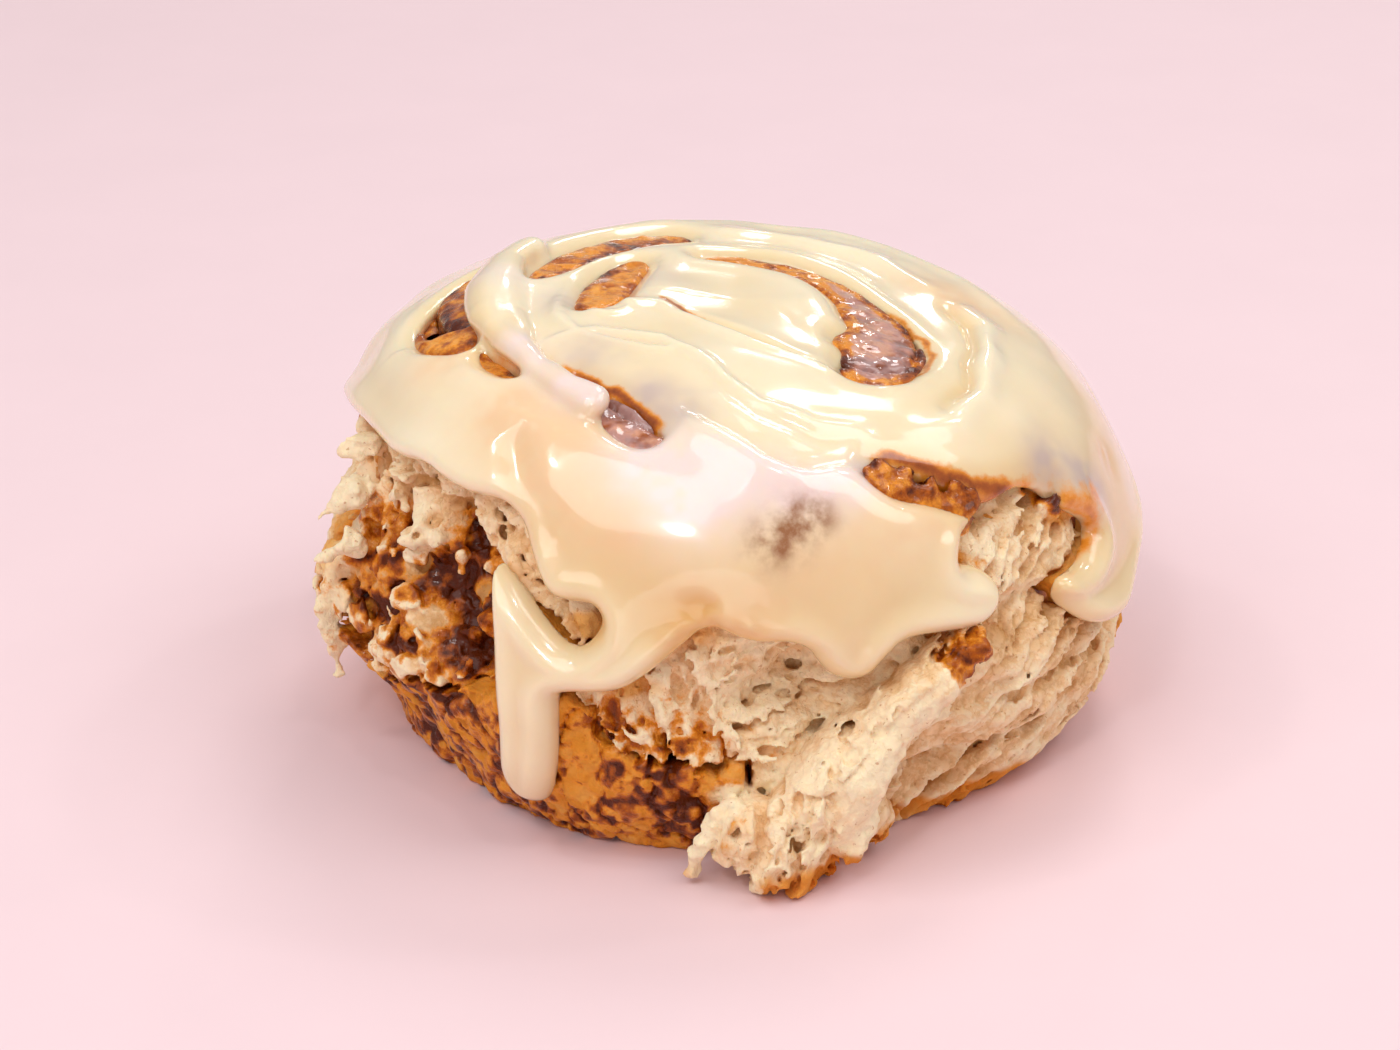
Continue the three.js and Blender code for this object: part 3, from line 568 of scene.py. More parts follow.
HOLLOWS = [  # hollows and bumps in the torn faces: azimuth, height, half width, half height, depth
    (212, 33.5, 3, 2.2, 3.6), (221, 33, 3, 3.5, 4.2), (227, 29, 3.5, 4, 4.2), (223, 22, 5, 3, 4.0),
    (230, 19, 4, 3, 3.0), (206, 30, 5, 3, 3.2), (215, 25, 5, 3, 3.0), (199, 26, 4, 2, 2.2),
    (209, 20, 4, 2, 2.4), (213, 30, 2.4, 1.5, -3.0), (190, 29, 4, 1.8, 2.6), (200, 16, 5, 6, 2.6),
    (219, 27, 3, 2, 2.0), (278, 22, 4.5, 3.2, 3.0), (271, 20, 2.5, 2, 1.6), (291, 22, 3.4, 2.2, 2.6),
    (283, 13, 3.5, 6, 3.2), (277, 17.6, 6, 1.2, -1.0), (306, 22, 5, 2, 1.2), (312, 25.2, 11, 1.2, 1.8),
    (303, 8.6, 7, 0.9, 2.4), (293, 7.6, 4, 0.9, 2.0), (322, 9.0, 6, 0.9, 1.6), (306, 17, 9, 0.9, 1.2),
    (338, 15, 9, 0.9, 1.3), (316, 15, 7, 0.8, 1.4), (105, 22, 12, 6, 2.4), (126, 27, 8, 4, 1.8)]
PULLS = [  # how each face was pulled: from azimuth, to azimuth, degrees of rise, stretch, layered, open
    (150, 240, -50, 2.4, 0.7, 0.8), (240, 268, -68, 2.6, 0.9, 0.6), (268, 296, 12, 3.0, 1.0, 0.5),
    (296, 360, 33, 4.6, 1.1, 0.25), (0, 150, -12, 3.0, 0.9, 0.5)]
BULGE = [(318, 31.5, 11.5, 6.5, 1.3)]  # the open-celled bulge of crumb under the hem
CLUMPS = [  # where soaked dough has clumped
    (206, 24, 9, 9, 1.2), (218, 27, 6, 6, 1.0), (214, 16, 12, 5, 1.2), (228, 24, 5, 6, 0.8)]


def draw_tears():
    """How torn the side is, from 0 to 1, on the side map."""
    around, flat, torn = side_map.u * AROUND, 0 * side_map.u, np.full(side_map.u.shape, -99.0)
    uneven = 1.5 * lumps(around, side_map.v, flat, 4.0) + 0.9 * lumps(around, side_map.v, flat, 1.8, 1)
    for outline in TORN.values():
        torn = np.maximum(torn, inside_outline(np.array(outline) * (AROUND, 1), around, side_map.v))
    return smoothstep(-0.9, 0.9, torn + uneven) * smoothstep(1.2, -0.6, hem_drawn)


torn_drawn, hollow_drawn = draw_tears(), patches(HOLLOWS)
clump_drawn = np.clip(patches(CLUMPS), 0, 1)
bulge_drawn = np.clip(patches(BULGE), 0, 1)
print(f"torn crumb on {torn_drawn.mean():.0%} of the side map, hollows down to {hollow_drawn.max():.1f} mm")

# %% [markdown]
# ## The flap, the claw and the flakes
# The flap at the front is a ridge of soft dough that was pulled out and fell forward. Chains of balls, which
# grow or shrink from one to the next, lay such shapes down quickly: one for the flap, one for its toe, a rope
# for the smooth twisted ridge along it, and thin ones for the claw of crumb and the flakes at the left.

# %% Chains of balls
FLAP = [  # middle of each ball, radius
    ((25.5, -38, 24.5), 2.6), ((19, -41, 18.5), 4.6), ((12, -42.5, 11), 6), ((4.4, -45.3, 5), 6.2)]
TOE = [((3.6, -44.9, 4.2), 5.4), ((13.5, -39.5, 5), 6.4)]
CLAW = [((-0.6, -45.8, 8.4), 1.7), ((-3.2, -46.6, 6.6), 1.1), ((-4.2, -46.4, 3.8), 0.8),
        ((-4.9, -46.2, 1.1), 0.6)]
ROPE = [((25.4, -39.4, 24.4), 1.4), ((21.6, -41.9, 22), 2.2), ((17.4, -43.8, 19.2), 2.8),
        ((12.6, -46.4, 13), 3.1), ((11.9, -45.8, 4.6), 2.0)]  # the smooth twisted ridge of the flap
WINGS = [  # ragged flakes that stand out at the left
    [((-43.5, -13, 24), 1.0), ((-45.9, -13.5, 20), 0.9), ((-46.2, -13.5, 15), 1.0), ((-45.6, -13, 10.5), 0.8),
     ((-45.2, -13, 8.4), 0.5)],
    [((-42.5, -14, 31), 1.6), ((-44.8, -14.5, 29.5), 1.0), ((-46, -15, 28.4), 0.5)],
    [((-42.5, -17, 26), 1.6), ((-45.6, -18, 25), 0.7)], [((-41, -12, 36), 1.6), ((-43.6, -12.5, 35), 0.8)]]
FLAP_RIGHT = [(0.4, 10.1), (8.8, 11.4), (14.2, 12.8), (17.7, 14.3), (20.6, 16.9), (22.1, 20.1), (23.7, 22.3),
              (25, 26)]  # the ragged right edge of the flap's face: height, x
FLAP_LEFT = [(6, 2), (9.6, 4.5), (14.8, 8.6), (19.3, 11.7), (24.3, 17.4), (25.5, 21.2)]  # and its left edge
FAR = 99.0  # more than any distance on the roll
FLAP_ROOM = ((-14, 36), (-FAR, -25), (-FAR, 34))  # the flap lies between these, in x, y and z
WINGS_ROOM = ((-FAR, -38), (-24, -3), (5, 37))  # and the flakes between these
FLAP_REACH = 7  # millimetres round the flap's surface that its tears can change


def chain(balls, x, y, z):
    """Distance to a chain of balls that grow or shrink from one to the next."""
    nearest = np.full(np.shape(x), 1e9)
    for (a, ra), (b, rb) in zip(balls[:-1], balls[1:]):
        d = np.subtract(b, a)
        t = np.clip(((x - a[0]) * d[0] + (y - a[1]) * d[1] + (z - a[2]) * d[2]) / (d @ d), 0, 1)
        gap = np.sqrt((x - a[0] - t * d[0]) ** 2 + (y - a[1] - t * d[1]) ** 2 + (z - a[2] - t * d[2]) ** 2)
        nearest = np.minimum(nearest, gap - ra - t * (rb - ra))
    return nearest


def within(room, x, y, z):
    """True between the low and the high end of a room in x, y and z."""
    return np.logical_and.reduce([(low < at) & (at < high) for (low, high), at in zip(room, (x, y, z))])


def flap_field(x, y, z):
    """The flap before it is torn."""
    broad = smooth_min(chain(FLAP, x, y, z), chain(TOE, x, y, z), 2.0)
    return np.minimum(broad, chain(ROPE, x, y, z) + 0.4)


def ragged_wings(x, y, z):
    """Thin torn flakes that stand out at the left."""
    wings = np.full(np.shape(x), 9.0)
    near = within(WINGS_ROOM, x, y, z)
    wx, wy, wz = x[near], y[near], z[near]
    for wing in WINGS:
        wings[near] = np.minimum(wings[near], chain(wing, wx, wy, wz))
    wings[near] += 0.7 * lumps(wx, wy, wz, 1.9, 1) + 0.45 * lumps(wx, wy, wz, 0.8, 2)
    return wings


print(f"flap {math.dist(FLAP[0][0], FLAP[-1][0]):.0f} mm long, {len(WINGS)} flakes")

# %% [markdown]
# ## Ways to tear and to bake
# Torn crumb is cut into a smooth shape step by step: crags first, then overlapping layers, shreds and
# tatters, and last the pores. Each face was pulled its own way, so the cuts are made along that pull. Where
# the dough wasn't torn it has a skin that creased as it cooled, and where syrup soaked it, it clumped.

# %% Tears, wrinkles and clumps
def pulled_places(azimuth, x, y, z, depth):
    """Places measured along the pull, across it and inwards, then how layered and how open each place is."""
    wander = azimuth + 5 * lumps(x, y, z, 5.0, 3)
    along, across, layered, opened = (np.zeros(np.shape(x)) for _ in range(4))
    for start, end, rise, stretch, much_layered, much_open in PULLS:
        here = (wander >= start) & (wander < end)
        around, up = (azimuth - (start + end) / 2) * AROUND, math.radians(rise)
        along = np.where(here, (around * math.cos(up) + z * math.sin(up)) / stretch + rise, along)
        across = np.where(here, -around * math.sin(up) + z * math.cos(up), across)
        layered, opened = np.where(here, much_layered, layered), np.where(here, much_open, opened)
    bulge = side_map.read(bulge_drawn, azimuth, z)
    warp = 0.7 * lumps(x, y, z, 3.6, 2)
    patchy = 0.45 + 0.75 * smoothstep(-0.35, 0.35, lumps(x, y, z, 8.0, 3))
    layered = layered * patchy * (1 - 0.8 * bulge)
    return along, across + warp, depth / 1.2 + warp, layered, opened + 0.9 * bulge


def tear(whole, torn, hollow, places, x, y, z):
    """Cuts torn crumb into a smooth field, and tells how deep each place lies in the crumb's own recesses,
    for painted shade.
    """
    along, across, inward, layered, opened = places
    slow = np.maximum(0.9 + 0.8 * lumps(x, y, z, 7.0) + 0.4 * lumps(x, y, z, 3.4, 1) + hollow, 0.15)
    wide, narrow = layers(along, across, inward, 4.4), layers(along, across + 9, inward, 2.1, 1)
    fold = 1 - np.abs(lumps(along, across + 7, inward, 1.9, 2))
    shreds = 0.6 * lumps(along * 1.3, across, inward, 1.6, 3)
    shreds += 0.38 * lumps(along * 1.6, across, inward, 0.8, 1)
    tatters = 0.17 * lumps(x, y, z, 0.9, 3) + 0.08 * lumps(x, y, z, 0.5, 1)
    cut = slow + layered * (1.5 * wide**1.6 + 0.6 * narrow) + 0.4 * (1 - fold**2) + shreds + tatters
    field = whole + torn * cut
    big = pores(along * 1.3, across, inward, 3.0, -0.1 + 0.22 * opened, 0.36) * 3.0
    small = pores(along * 1.6, across, inward, 1.3, 0.04 + 0.18 * opened, 0.38) * 1.3
    field = smooth_max(field, np.minimum(big, 1.8 + field) * torn, 0.4)
    field = smooth_max(field, np.minimum(small, 0.9 + field) * torn, 0.2)
    return field, -(whole + torn * slow)


def wrinkles(azimuth, x, y, z):
    """Creases of the baked skin, 1 at the bottom of each."""
    around = azimuth * AROUND
    warp = 1.1 * lumps(x, y, z, 3.6, 2)
    slant = 0.8 * around - 0.6 * z, 0.6 * around + 0.8 * z
    long = 1 - np.abs(lumps(slant[0] / 1.3 + warp, slant[1] + warp, 0 * z, 2.4, 1))
    short = 1 - np.abs(lumps(slant[0] - warp, slant[1], 4 + 0 * z, 1.4, 3))
    return np.clip(0.8 * long**6 + 0.5 * short**6, 0, 1)


def clumps(x, y, z):
    """Sticky lumps of soaked dough, large and small."""
    uneven = 1.0 * lumps(x, y, z, 1.5, 3) + 0.6 * lumps(x, y, z, 0.8, 1) + 0.8 * lumps(x, y, z, 2.8, 2)
    large = -pores(x, y, z * 1.2, 5.0, 0.1, 0.4) * 5.0
    small = -pores(x + 40, y, z, 2.8, 0.1, 0.42) * 2.8
    return smooth_min(large, small, 0.4) + uneven


print(f"{len(PULLS)} ways of pulling round the side")

# %% [markdown]
# ## The dough as one field
# The coil and the flap are torn each in its own way, and then joined through a smooth blend. On the top, the
# dough swells up between the edges of the icing, and a slot along the seam makes room for the filling.

# %% The torn coil
TORN_FROM = 0.02  # less torn than this is left as skin
CLUMPED_FROM = 0.25
SKIN_TOP = 30.0  # wrinkles end this high, under the icing


def torn_body(x, y, z, azimuth):
    """The coil without the flap: torn, with clumps in its deep hollows, and a wrinkled skin elsewhere."""
    whole = body(x, y, z) + dip_at(x, y, z)
    baked = whole.copy()
    torn = side_map.read(torn_drawn, azimuth, z)
    hollow = side_map.read(hollow_drawn, azimuth, z)
    recess_shade = np.zeros(np.shape(x))
    rough = torn > TORN_FROM
    rx, ry, rz = x[rough], y[rough], z[rough]
    places = pulled_places(azimuth[rough], rx, ry, rz, -whole[rough])
    whole[rough], recess_shade[rough] = tear(whole[rough], torn[rough], hollow[rough], places, rx, ry, rz)
    clumped = rough & (side_map.read(clump_drawn, azimuth, z) > CLUMPED_FROM)
    cx, cy, cz = x[clumped], y[clumped], z[clumped]
    sunk = baked[clumped] + 0.2 + 0.6 * hollow[clumped] + 0.8 * lumps(cx, cy, cz, 4.0)
    whole[clumped] = smooth_min(whole[clumped], np.maximum(clumps(cx, cy, cz), sunk), 0.4)
    # painted shade: between the clumps the crumb is darker the deeper it lies, and lighter on their tops
    recess_shade[clumped] = np.maximum(recess_shade[clumped], -0.3 - sunk)
    skin = 0.45 * lumps(x, y, z, 6.0, 2) + 0.55 * lumps(x, y, z, 2.6)
    skin = skin + 1.2 * wrinkles(azimuth, x, y, z) + 0.26 * lumps(x, y, z, 1.1, 3)
    return whole + np.where(z > SKIN_TOP, 0, 1) * (1 - torn) * (0.25 + skin), recess_shade


# %% The torn flap
FLAP_TORN, FLAP_SWELL = 0.95, 1.7  # how far the flap is torn, and how far it swells first to make up for it


def torn_flap(x, y, z):
    """The flap: a smooth twisted ridge, ragged layers that fall the same way, and an open, lumpy toe."""
    flap = flap_field(x, y, z)
    recess_shade = np.zeros(np.shape(x))
    near = np.abs(flap) < FLAP_REACH
    fx, fy, fz = x[near], y[near], z[near]
    jagged = 0.6 * lumps(fx, fy, fz, 1.8) + 0.35 * lumps(fx, fy, fz, 0.8, 1)
    right = fx - curve(FLAP_RIGHT, fz) + jagged
    left = (curve(FLAP_LEFT, fz) - 0.6 - fx + 0.5 * jagged) * smoothstep(9, 12, fz)
    step = 1.2 * smoothstep(-0.3, 0.4, right) + 0.35 * np.clip(right, 0, 7)
    step += 2.0 * smoothstep(-0.3, 1.2, left) + 0.25 * np.clip(left, 0, 6)
    toe = (fx + 0.8 * fz + 3 * lumps(fx, fy, fz, 4.0) < 17) & (fz < 12)
    fall, twist = -0.67 * fx - 0.22 * fy - 0.71 * fz, -0.73 * fx + 0.68 * fz
    warp = 0.6 * lumps(fx, fy, fz, 3.2, 2)
    along = np.where(toe, (fz + 0.3 * fx) / 2.6, fall / 3.2)
    across = np.where(toe, fx - 0.3 * fz, twist) + warp
    places = along, across, -flap[near] / 1.2 + warp, np.where(toe, 1.3, 1.0), np.where(toe, 0.42, 0.4)
    base = flap[near] + step - FLAP_SWELL + 0.3 * lumps(fx, fy, fz, 1.2, 2)
    flap[near], recess_shade[near] = tear(base, FLAP_TORN + 0 * fx, 0 * fx, places, fx, fy, fz)
    rope = chain(ROPE, fx, fy, fz) + 0.6 * lumps(fall / 4, twist, fy, 1.5)
    rope += 0.28 * lumps(fall / 3, twist, fy, 0.7, 1)
    rope += 0.1 * lumps(fx, fy, fz, 0.6, 2) + 0.9 * np.abs(jagged) * smoothstep(-1.2, 0.4, right)
    recess_shade[near] = np.where(rope < flap[near], 0.35 + 0.8 * lumps(fall / 3, twist, fy, 1.1), recess_shade[near])
    flap[near] = smooth_min(flap[near], rope, 0.4)
    claw = chain(CLAW, x, y, z) + 0.5 * lumps(x, y, z, 1.3, 1) + 0.3 * lumps(x, y, z, 0.7, 2)
    return smooth_min(flap, claw, 0.4), recess_shade


# %% The whole dough
TOP_FROM, SHOULDER_FROM = 34.0, 26.0  # above these heights a place belongs to the top, or to the shoulder
SLOT_HALF_WIDTH, SLOT_DEPTH = 0.9, 3.6  # the slot along the seam, where a gap in the icing shows it
WORKED_TORN, WORKED_TOP, WORKED_SKIN = 9.0, 5.8, 1.4  # how far in from the baked surface the field matters


def dough_parts(x, y, z):
    """The dough's field, and the painted shade of its recesses."""
    azimuth = azimuth_of(x, y)
    whole, recess_shade = torn_body(x, y, z, azimuth)
    baked = body(x, y, z) + dip_at(x, y, z)
    front = within(FLAP_ROOM, x, y, z)
    flap, flap_recess_shade = torn_flap(x[front], y[front], z[front])
    recess_shade[front] = np.where(flap < whole[front], flap_recess_shade, recess_shade[front])
    whole[front] = smooth_min(whole[front], flap, 0.5)
    wings = ragged_wings(x, y, z)
    recess_shade = np.where(wings < whole, -0.2, recess_shade)
    whole = smooth_min(whole, wings, 0.4)
    above_hem = smoothstep(-2.0, 0.0, side_map.read(hem_drawn, azimuth, z))
    in_gap = smoothstep(-2.0, 0.5, plan_map.read(gap_drawn, x, y)) * above_hem
    whole -= plan_map.read(lift_drawn, x, y) * above_hem * (z > SHOULDER_FROM)
    closed = SLOT_HALF_WIDTH - SLOT_HALF_WIDTH * plan_map.read(crescent_drawn, x, y)
    half_slot = SLOT_HALF_WIDTH + 0.3 * lumps(x, y, z, 3.0) - in_gap * closed
    slot = smooth_max(np.abs(plan_map.read(seam_drawn, x, y)) - half_slot, -SLOT_DEPTH - baked, 0.6)
    whole = smooth_max(whole, -slot - FAR * (z < TOP_FROM), 1.2)
    granular = 0.6 + 0.8 * plan_map.read(slit_drawn, x, y)
    grains = 0.3 * lumps(x, y, z, 1.2, 1) + 0.4 * np.abs(lumps(x, y, z, 2.4, 2))
    whole += in_gap * (z > TOP_FROM) * granular * grains
    return smooth_max(whole, -z, 0.5), recess_shade


def dough_shell(x, y, z, slack):
    """A rough field of the dough, and the places near enough to its surface to be worked out."""
    rough, flap = body(x, y, z), flap_field(x, y, z)
    torn = side_map.read(torn_drawn + 0.5 * (hollow_drawn > 0.3), azimuth_of(x, y), z) > 0.01
    deep = np.where(torn, -WORKED_TORN, np.where(z > SKIN_TOP, -WORKED_TOP, -WORKED_SKIN))
    near = (rough < np.where(z > 28, 1.6, 0.6) + slack) & (rough > deep - slack)
    near |= (flap < 1.6 + slack) & (flap > -7.5 - slack) | (chain(CLAW, x, y, z) < 1 + slack)
    near |= (chain(ROPE, x, y, z) < 1.2 + slack) | (ragged_wings(x, y, z) < 1.2 + slack)
    near |= (np.abs(z) < 0.8 + slack) & (np.minimum(rough, flap) < 1.6 + slack)
    return np.minimum(rough, flap) + FAR * (z < 0), near


print(f"the field matters down to {WORKED_TORN} mm into torn crumb")

# %% The dough's mesh
DOUGH_GRID = (-50, -53.5, -1), (50, 50, 53)
dough_points, dough_quads = grid_mesh(lambda x, y, z: dough_parts(x, y, z)[0], *DOUGH_GRID, CELL, dough_shell)
print(f"dough meshed in {time.time() - started:.0f} s")

# %% [markdown]
# ## What shows where on the dough
# Numbers at each point of the dough tell its material what to show: how open the crumb is, how much painted
# shade it gets deep in the crumb's hollows, how much cinnamon has soaked it, how golden it is baked, and how
# wet with syrup it is.

# %% Where cinnamon, white crumb and gold lie
SPICE_PLACES = [  # soaked or smeared places on the side: azimuth, height, half width, half height, amount
    (206, 26, 10, 6, 0.8), (222, 29, 6, 5, 0.75), (226, 22, 6, 6, 0.85), (200, 19, 11, 6, 0.75),
    (214, 15, 12, 5, 0.8), (236, 13, 9, 6, 0.8), (248, 7, 12, 6, 0.8), (260, 11, 9, 6, 0.75),
    (268, 4, 7, 4, 0.9), (106, 22, 10, 4, 0.6), (229, 3, 22, 4, 0.6), (212, 7, 12, 5, 0.8),
    (195, 6, 10, 5, 0.5), (252, 17, 7, 4, 0.6), (214, 4, 18, 6, 0.95), (240, 3, 14, 3, 0.65),
    (262, 14.5, 6, 2, 0.3)]
WHITE_PLACES = [  # crumb that stayed white in between
    (213, 30.3, 3, 2.2, 1.2), (205, 36.5, 7, 2.6, 1.0), (218, 36, 6, 2, 0.9), (197, 22, 2.2, 4, 0.5),
    (231, 33, 5, 2, 0.8), (222, 37, 8, 1.6, 0.8), (224, 24.5, 1.6, 1.8, 0.9), (217.5, 21, 2, 1.2, 0.8),
    (230, 16.5, 2.4, 2, 0.7), (211, 25.5, 1.4, 2, 0.8), (234.5, 21.5, 1.8, 3, 0.8), (206, 15.5, 2, 2, 0.6)]
GOLD_PLACES = [  # crumb that is baked or stained golden
    (190, 34, 6, 8, 0.7), (192, 24, 6, 6, 0.7), (205, 20, 6, 4, 0.7), (252, 20, 4, 4, 0.35),
    (264, 28, 7, 2.4, 0.6), (258, 25, 5, 3, 0.35), (256, 21.5, 5, 1.6, 0.5), (272, 24, 5, 3, 0.35),
    (249, 27.5, 3.5, 2, 1.1), (300, 23.5, 1.8, 2.2, 0.9), (332, 32, 6, 2.4, 1.2)]
spice_drawn, white_drawn, gold_drawn = patches(SPICE_PLACES), patches(WHITE_PLACES), patches(GOLD_PLACES)
print(f"filling smeared or soaked in over {(spice_drawn > 0.3).mean():.0%} of the side map")

# %% Thin the dough out where it is hidden
def hidden_share(points):
    """1 where a point can't be seen: under the icing or on the underside."""
    x, y, z = points.T
    covered = np.minimum(side_map.read(hem_drawn, azimuth_of(x, y), z), -plan_map.read(gap_drawn, x, y))
    return np.maximum(smoothstep(1.0, 3.0, covered), 0.9 * (z < 0.2))


DOUGH_KEPT, ICING_KEPT = 0.02, 0.03  # shares of the hidden faces that are kept
dough_whole = piece_from_points("dough_whole", dough_points, dough_quads, {})
thin_out(dough_whole, hidden_share(dough_points), DOUGH_KEPT)

# %% Marks at each point of the dough
FLAP_TIP = (24.6, -40, 23.6)  # filling is smeared over the upper end of the flap
RIGHT_FROM = 273  # the golden foot is taller and unbroken from this azimuth on


def marbling(azimuth, x, y, z):
    """Syrup baked into the skin: it gathers in the creases and in soft clouds, from -1 to 1."""
    around = azimuth * AROUND
    warp = 1.2 * lumps(x, y, z, 3.0, 2)
    cloud = lumps(x, y, z, 8.0, 1) + 0.6 * lumps(around + warp, z + warp, 0 * z, 2.6)
    fleck = lumps(around, z, 5 + 0 * z, 1.0, 2)
    return 0.45 * cloud + 0.75 * (wrinkles(azimuth, x, y, z) - 0.32) + 0.65 * fleck


def soaked_crumb(torn, on_flap, on_wing, spice, depth, recess_shade, blotch, streaks):
    """How much cinnamon shows on the side: soaked deep into crumb, or smeared over skin."""
    # Deeper places and deeper recesses get more syrup colour: partly cinnamon that soaked in, partly painted
    # shade.
    soaked = np.clip(spice, 0, 1.2) * (0.2 + 0.155 * depth + 0.12 * recess_shade + 0.9 * blotch) - 0.04
    smeared = np.clip(spice, 0, 1.1) * (0.43 + 0.8 * streaks)
    flecks = 0.1 * (spice > 0.15) * (torn < 0.5)
    return np.where(torn > 0.5, soaked, smeared) * (1 - on_flap) * (1 - 0.75 * on_wing) + flecks


def dough_marks(points):
    """What the bread's material has to know at each point."""
    x, y, z = points.T
    azimuth = azimuth_of(x, y)
    recess_shade = dough_parts(x, y, z)[1]
    on_flap = smoothstep(1.5, 0.0, np.minimum(flap_field(x, y, z), chain(CLAW, x, y, z) - 0.6)) * (x > -8)
    on_wing = smoothstep(0.5, 0.0, ragged_wings(x, y, z))
    torn = np.maximum(side_map.read(torn_drawn, azimuth, z), np.maximum(on_flap, on_wing))
    seam, gap = plan_map.read(seam_drawn, x, y), plan_map.read(gap_drawn, x, y)
    in_gap = smoothstep(-3.0, -0.5, gap) * smoothstep(SHOULDER_FROM, TOP_FROM, z)
    in_gap *= smoothstep(-2.0, 0.0, side_map.read(hem_drawn, azimuth, z))
    ring = smoothstep(1.7, 0.4, gap + 0.6 * lumps(x, y, z, 1.2)) * (y > -22)
    glaze = plan_map.read(glaze_drawn, x, y) * in_gap * (1 - 0.75 * ring)
    streaks = marbling(azimuth, x, y, z)
    right = azimuth > RIGHT_FROM
    foot = smoothstep(3.6, 0.8, z - 1.0 * right + 1.4 * lumps(x, y, z, 4) + 0.6 * lumps(x, y, z, 1.3, 1))
    foot *= smoothstep(-0.2, 0.4, lumps(x, y, z, 7.0, 1) + 0.6 * right)
    spice = side_map.read(spice_drawn, azimuth, z) - 1.3 * side_map.read(white_drawn, azimuth, z)
    depth = np.clip(-body(x, y, z), 0, 7)
    blotch = 0.5 * lumps(x, y, z, 2.2) + 0.45 * lumps(x, y, z, 1.0, 1) + 0.3 * lumps(x, y, z, 4.5, 2)
    spice = soaked_crumb(torn, on_flap, on_wing, spice, depth, recess_shade, blotch, streaks)
    from_tip = np.sqrt((x - FLAP_TIP[0]) ** 2 + (y - FLAP_TIP[1]) ** 2 + (z - FLAP_TIP[2]) ** 2)
    tip = smoothstep(4.8, 2.4, from_tip + 0.3 + 0.9 * lumps(x, y, z, 1.4))
    spice = np.maximum(spice, tip * (0.62 + 0.35 * streaks))
    dark = plan_map.read(darkness_drawn, x, y) * (0.65 + 0.5 * smoothstep(3.4, 0.8, np.abs(seam + 0.3)))
    filled = dark * (1 - 0.2 * ring) + 0.4 * blotch + 0.2 * smoothstep(1.0, 0.2, gap) + 0.1 * streaks
    spice = np.where(in_gap > 0.05, np.maximum(spice, in_gap * filled), spice)
    spice = np.maximum(spice, (z < 0.5) * smoothstep(1.8, 0.8, np.abs(seam)) * 0.6)
    gold = np.maximum(side_map.read(gold_drawn, azimuth, z), np.maximum(foot * 0.9, in_gap))
    gold = np.maximum(gold, 0.8 * plan_map.read(golden_coil_drawn, x, y) * in_gap)
    # painted light and shade: the front crumb, in the shade of the icing, is painted lighter, and the right
    # side from 300 degrees darker
    front_painted_light = smoothstep(244, 250, azimuth) * smoothstep(294, 284, azimuth)
    recess_shade = recess_shade * (1 - 0.4 * front_painted_light) - 0.35 * front_painted_light + 0.1 * smoothstep(300, 325, azimuth)
    return {"open_crumb": torn * (1 - 0.9 * foot), "spice": spice, "gold": gold,
            "recess_shade": np.clip(recess_shade, -1, 5), "glaze": np.maximum(glaze, 0.42 * in_gap)}


for name, values in dough_marks(dough_points[::997]).items():
    print(f"{name} runs from {values.min():.1f} to {values.max():.1f}")

# %% [markdown]
# ## One dough, several pieces
# A piece that is too heavy would be thinned evenly when it is exported, and the fine crumb would go first.
# The dough is split along the edges of its torn faces, and its skin by azimuth. The pieces keep the shading
# of the whole, so

# %% Split the dough
TORN_FACES = {  # from azimuth, to azimuth
    "crumb_left": (150, 244), "crumb_front": (244, 296), "crumb_right": (296, 361), "crumb_back": (0, 150)}
SKIN_PARTS = {"baked_skin_left": (120, 245), "baked_skin_front": (245, 361), "baked_skin_back": (0, 120)}


def dough_piece(name, chosen, mesh, places, normals):
    """A piece of the whole dough made of the chosen faces."""
    total, corners = np.empty(len(mesh.polygons), np.int32), np.empty(len(mesh.loops), np.int32)
    mesh.polygons.foreach_get("loop_total", total)
    mesh.loops.foreach_get("vertex_index", corners)
    used, renamed = np.unique(corners[np.repeat(chosen, total)], return_inverse=True)
    sides = total[chosen]
    made = new_mesh(name, places[used], renamed, np.cumsum(sides) - sides)
    made.normals_split_custom_set_from_vertices(normals[used])
    print(f"{name}: {(sides - 2).sum()} triangles")
    return piece_of(made, dough_marks(places[used] / MM - AXIS))


def split_dough(whole):
    """The whole dough as pieces: its torn faces and the parts of its skin."""
    mesh = whole.data
    places, normals = (np.empty((len(mesh.vertices), 3), np.float32) for _ in range(2))
    mesh.vertices.foreach_get("co", places.ravel())
    mesh.vertices.foreach_get("normal", normals.ravel())
    centres = np.empty((len(mesh.polygons), 3), np.float32)
    mesh.polygons.foreach_get("center", centres.ravel())
    x, y, z = (centres / MM - AXIS).T
    azimuth = azimuth_of(x, y)
    torn_side = (side_map.read(torn_drawn, azimuth, z) > 0.5) & (body(x, y, z) < 1)
    on_flap = (flap_field(x, y, z) < 0.8) & (z > 0.3)
    torn = (torn_side | on_flap) & (z > 0.1)
    pieces = []
    for chosen, sectors in ((~torn, SKIN_PARTS), (torn, TORN_FACES)):
        for name, (start, end) in sectors.items():
            sector = (azimuth >= start) & (azimuth < end)
            pieces.append(dough_piece(name, chosen & sector, mesh, places, normals))
    bpy.data.objects.remove(whole)
    bpy.data.meshes.remove(mesh)
    return pieces


dough_pieces = split_dough(dough_whole)
print(f"dough split in {time.time() - started:.0f} s")
